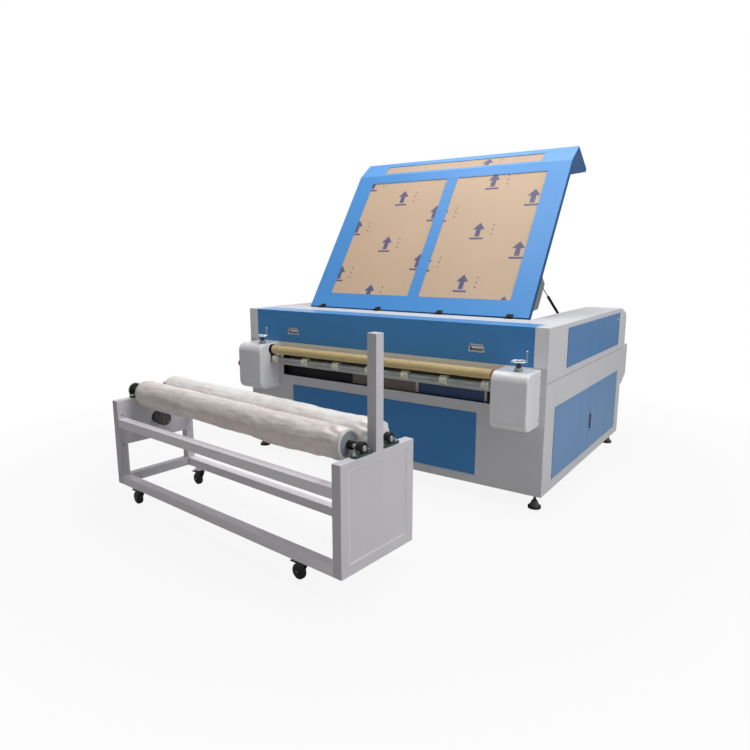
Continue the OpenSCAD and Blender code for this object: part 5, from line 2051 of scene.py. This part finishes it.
    def casters(self) -> None:
        """Softens the caster forks and turns one tyre and hub for all four."""
        pattern = pin_of("wheel_spin_near_left")
        at = facing(pattern, self.frame.to_3x3() @ Vector((0, 1, 0)))
        r, half = Span.of("wheel_near_left").size.z / 2, self.tyre_half
        side, seat, bore = r * 0.62, r * 0.58, 12 * MM
        groove = half - 2 * MM
        tyre = bench.turned("tyre", [(-half, side), *mirrored(metres(self.tyre, 0, r)),
                                     (half, side), (groove, seat), (groove, bore),
                                     (-groove, bore), (-groove, seat)], at, 56)
        axle = bench.turned("axle", mirrored(metres(self.axle_steps)), at, 28)
        for corner in ("near_left", "near_right", "far_left", "far_right"):
            bench.softened(f"caster_{corner}", self.fork_edge)
            move = Matrix.Translation(pin_of(f"wheel_spin_{corner}") - pattern)
            hand_over(bench.twin(tyre, f"tyre_{corner}", move), f"wheel_{corner}", TYRE,
                      (f"wheel_{corner}",))
            hand_over(bench.twin(axle, f"axle_{corner}", move), f"wheel_{corner}", STEEL)
        bench.discard(tyre, axle)


# ---------------- studio
@dataclass(frozen=True)
class Lamp:
    """One soft square light: its place, the point it faces, its width and its watts."""

    name: str
    at: Point
    towards: Point
    size: float
    power: float
    colour: Point = (1, 1, 1)

    def hang(self) -> None:
        """Puts the light into the scene."""
        light = bpy.data.lights.new(self.name, "AREA")
        light.size, light.energy, light.color = self.size, self.power, self.colour
        holder = stand(self.name, light, self.at)
        way = Vector(self.towards) - Vector(self.at)
        holder.rotation_euler = way.to_track_quat("-Z", "Y").to_euler()


def stand(name: str, data: bpy.types.ID, at: Point) -> Thing:
    """Puts a light or a camera into the scene.

    Args:
        name: Its name.
        data: The light or camera.
        at: Its place.

    Returns:
        Its object.
    """
    holder = bpy.data.objects.new(name, data)
    bpy.context.scene.collection.objects.link(holder)
    holder.location = at
    return holder


@dataclass
class Studio:
    """The floor, the lights, the backdrop and the camera."""

    eye: Point = (2.260, -3.4995, 1.4489)
    gaze: Point = (-0.5581, 0.8078, -0.1898)
    lens: float = 29.78
    sensor: float = 36.0
    floor_paint: Colour = paint(202, 201, 198)
    whiten: float = 0.90
    fade_from: float = 1.9
    fade: float = 0.06
    fill: tuple[Colour, float] = ((0.95, 0.95, 0.96), 0.145)
    lamps: tuple[Lamp, ...] = (
        Lamp("key", (5.5, -0.3, 4.2), (0, 0, 0.6), 3.5, 181, (0.98, 0.98, 1.0)),
        Lamp("top", (0.0, 0.2, 5.5), (0, 0, 0), 4.5, 185),
        Lamp("front", (1.0, -6.0, 2.6), (0, 0, 0.7), 3.5, 5, (1.0, 0.98, 0.90)))

    def build(self) -> None:
        """Sets up everything round the object."""
        self.floor()
        self.backdrop()
        for lamp in self.lamps:
            lamp.hang()
        self.camera()
        bpy.context.scene.view_settings.view_transform = "Standard"

    def floor(self) -> None:
        """Lays a pale floor that keeps the shadow but looks white to the camera."""
        bench.clear()
        bpy.ops.mesh.primitive_grid_add(x_subdivisions=2, y_subdivisions=2, size=40)
        floor = bench.settle(bench.started("studio_floor"))
        made = bpy.data.materials.new("studio_floor_look")
        graph = Graph.fresh(made)
        matte = graph.wire("BsdfDiffuse", {"Color": (*self.floor_paint, 1.0)})
        light = graph.wire("Emission", {"Color": (1, 1, 1, 1), "Strength": 1.0})
        away = graph.wire("VectorMath", {0: graph.place()}, output="Value", operation="LENGTH")
        faded = ((away - self.fade_from) * self.fade).most(0.0)
        seen = graph.wire("LightPath", output="Is Camera Ray") * (faded + self.whiten).least(1.0)
        mixed = graph.wire("MixShader", {0: seen, 1: matte, 2: light})
        graph.node("OutputMaterial", {"Surface": mixed})
        floor.data.materials.append(made)

    def backdrop(self) -> None:
        """Makes the world plain, and white to the camera and in reflections."""
        world = bpy.data.worlds.new("studio")
        bpy.context.scene.world = world
        graph = Graph.fresh(world)
        path = graph.node("LightPath").outputs
        seen = (Wire(graph, path["Is Camera Ray"]) + Wire(graph, path["Is Glossy Ray"])
                + Wire(graph, path["Is Transmission Ray"])).least(1.0)
        colour, strength = self.fill
        fill = graph.wire("Background", {"Color": (*colour, 1), "Strength": strength})
        white = graph.wire("Background", {"Color": (1, 1, 1, 1), "Strength": 1.0})
        mixed = graph.wire("MixShader", {0: seen, 1: fill, 2: white})
        graph.node("OutputWorld", {"Surface": mixed})

    def camera(self) -> None:
        """Stands the camera at the feed side, to the right."""
        lens = bpy.data.cameras.new("view")
        lens.lens, lens.sensor_width = self.lens, self.sensor
        holder = stand("view", lens, self.eye)
        holder.rotation_euler = Vector(self.gaze).to_track_quat("-Z", "Y").to_euler()
        bpy.context.scene.camera = holder


def dress_frame() -> None:
    """Gives every CAD piece its finish."""
    for name, node in frame["nodes"].items():
        made = finish_of(name).material()
        for place in node.material_slots:
            place.material = made


def main() -> None:
    """Builds the looks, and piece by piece."""
    logging.basicConfig(level=logging.INFO, format="%(message)s")
    Studio().build()
    dress_frame()
    for kind in (Cabinet, Panels, RearCover, FeedUnit, Lid, Works, Cart):
        assembly = kind()
        log.info("building %s", type(assembly).__name__)
        assembly.build()


if __name__ == "__main__":
    main()
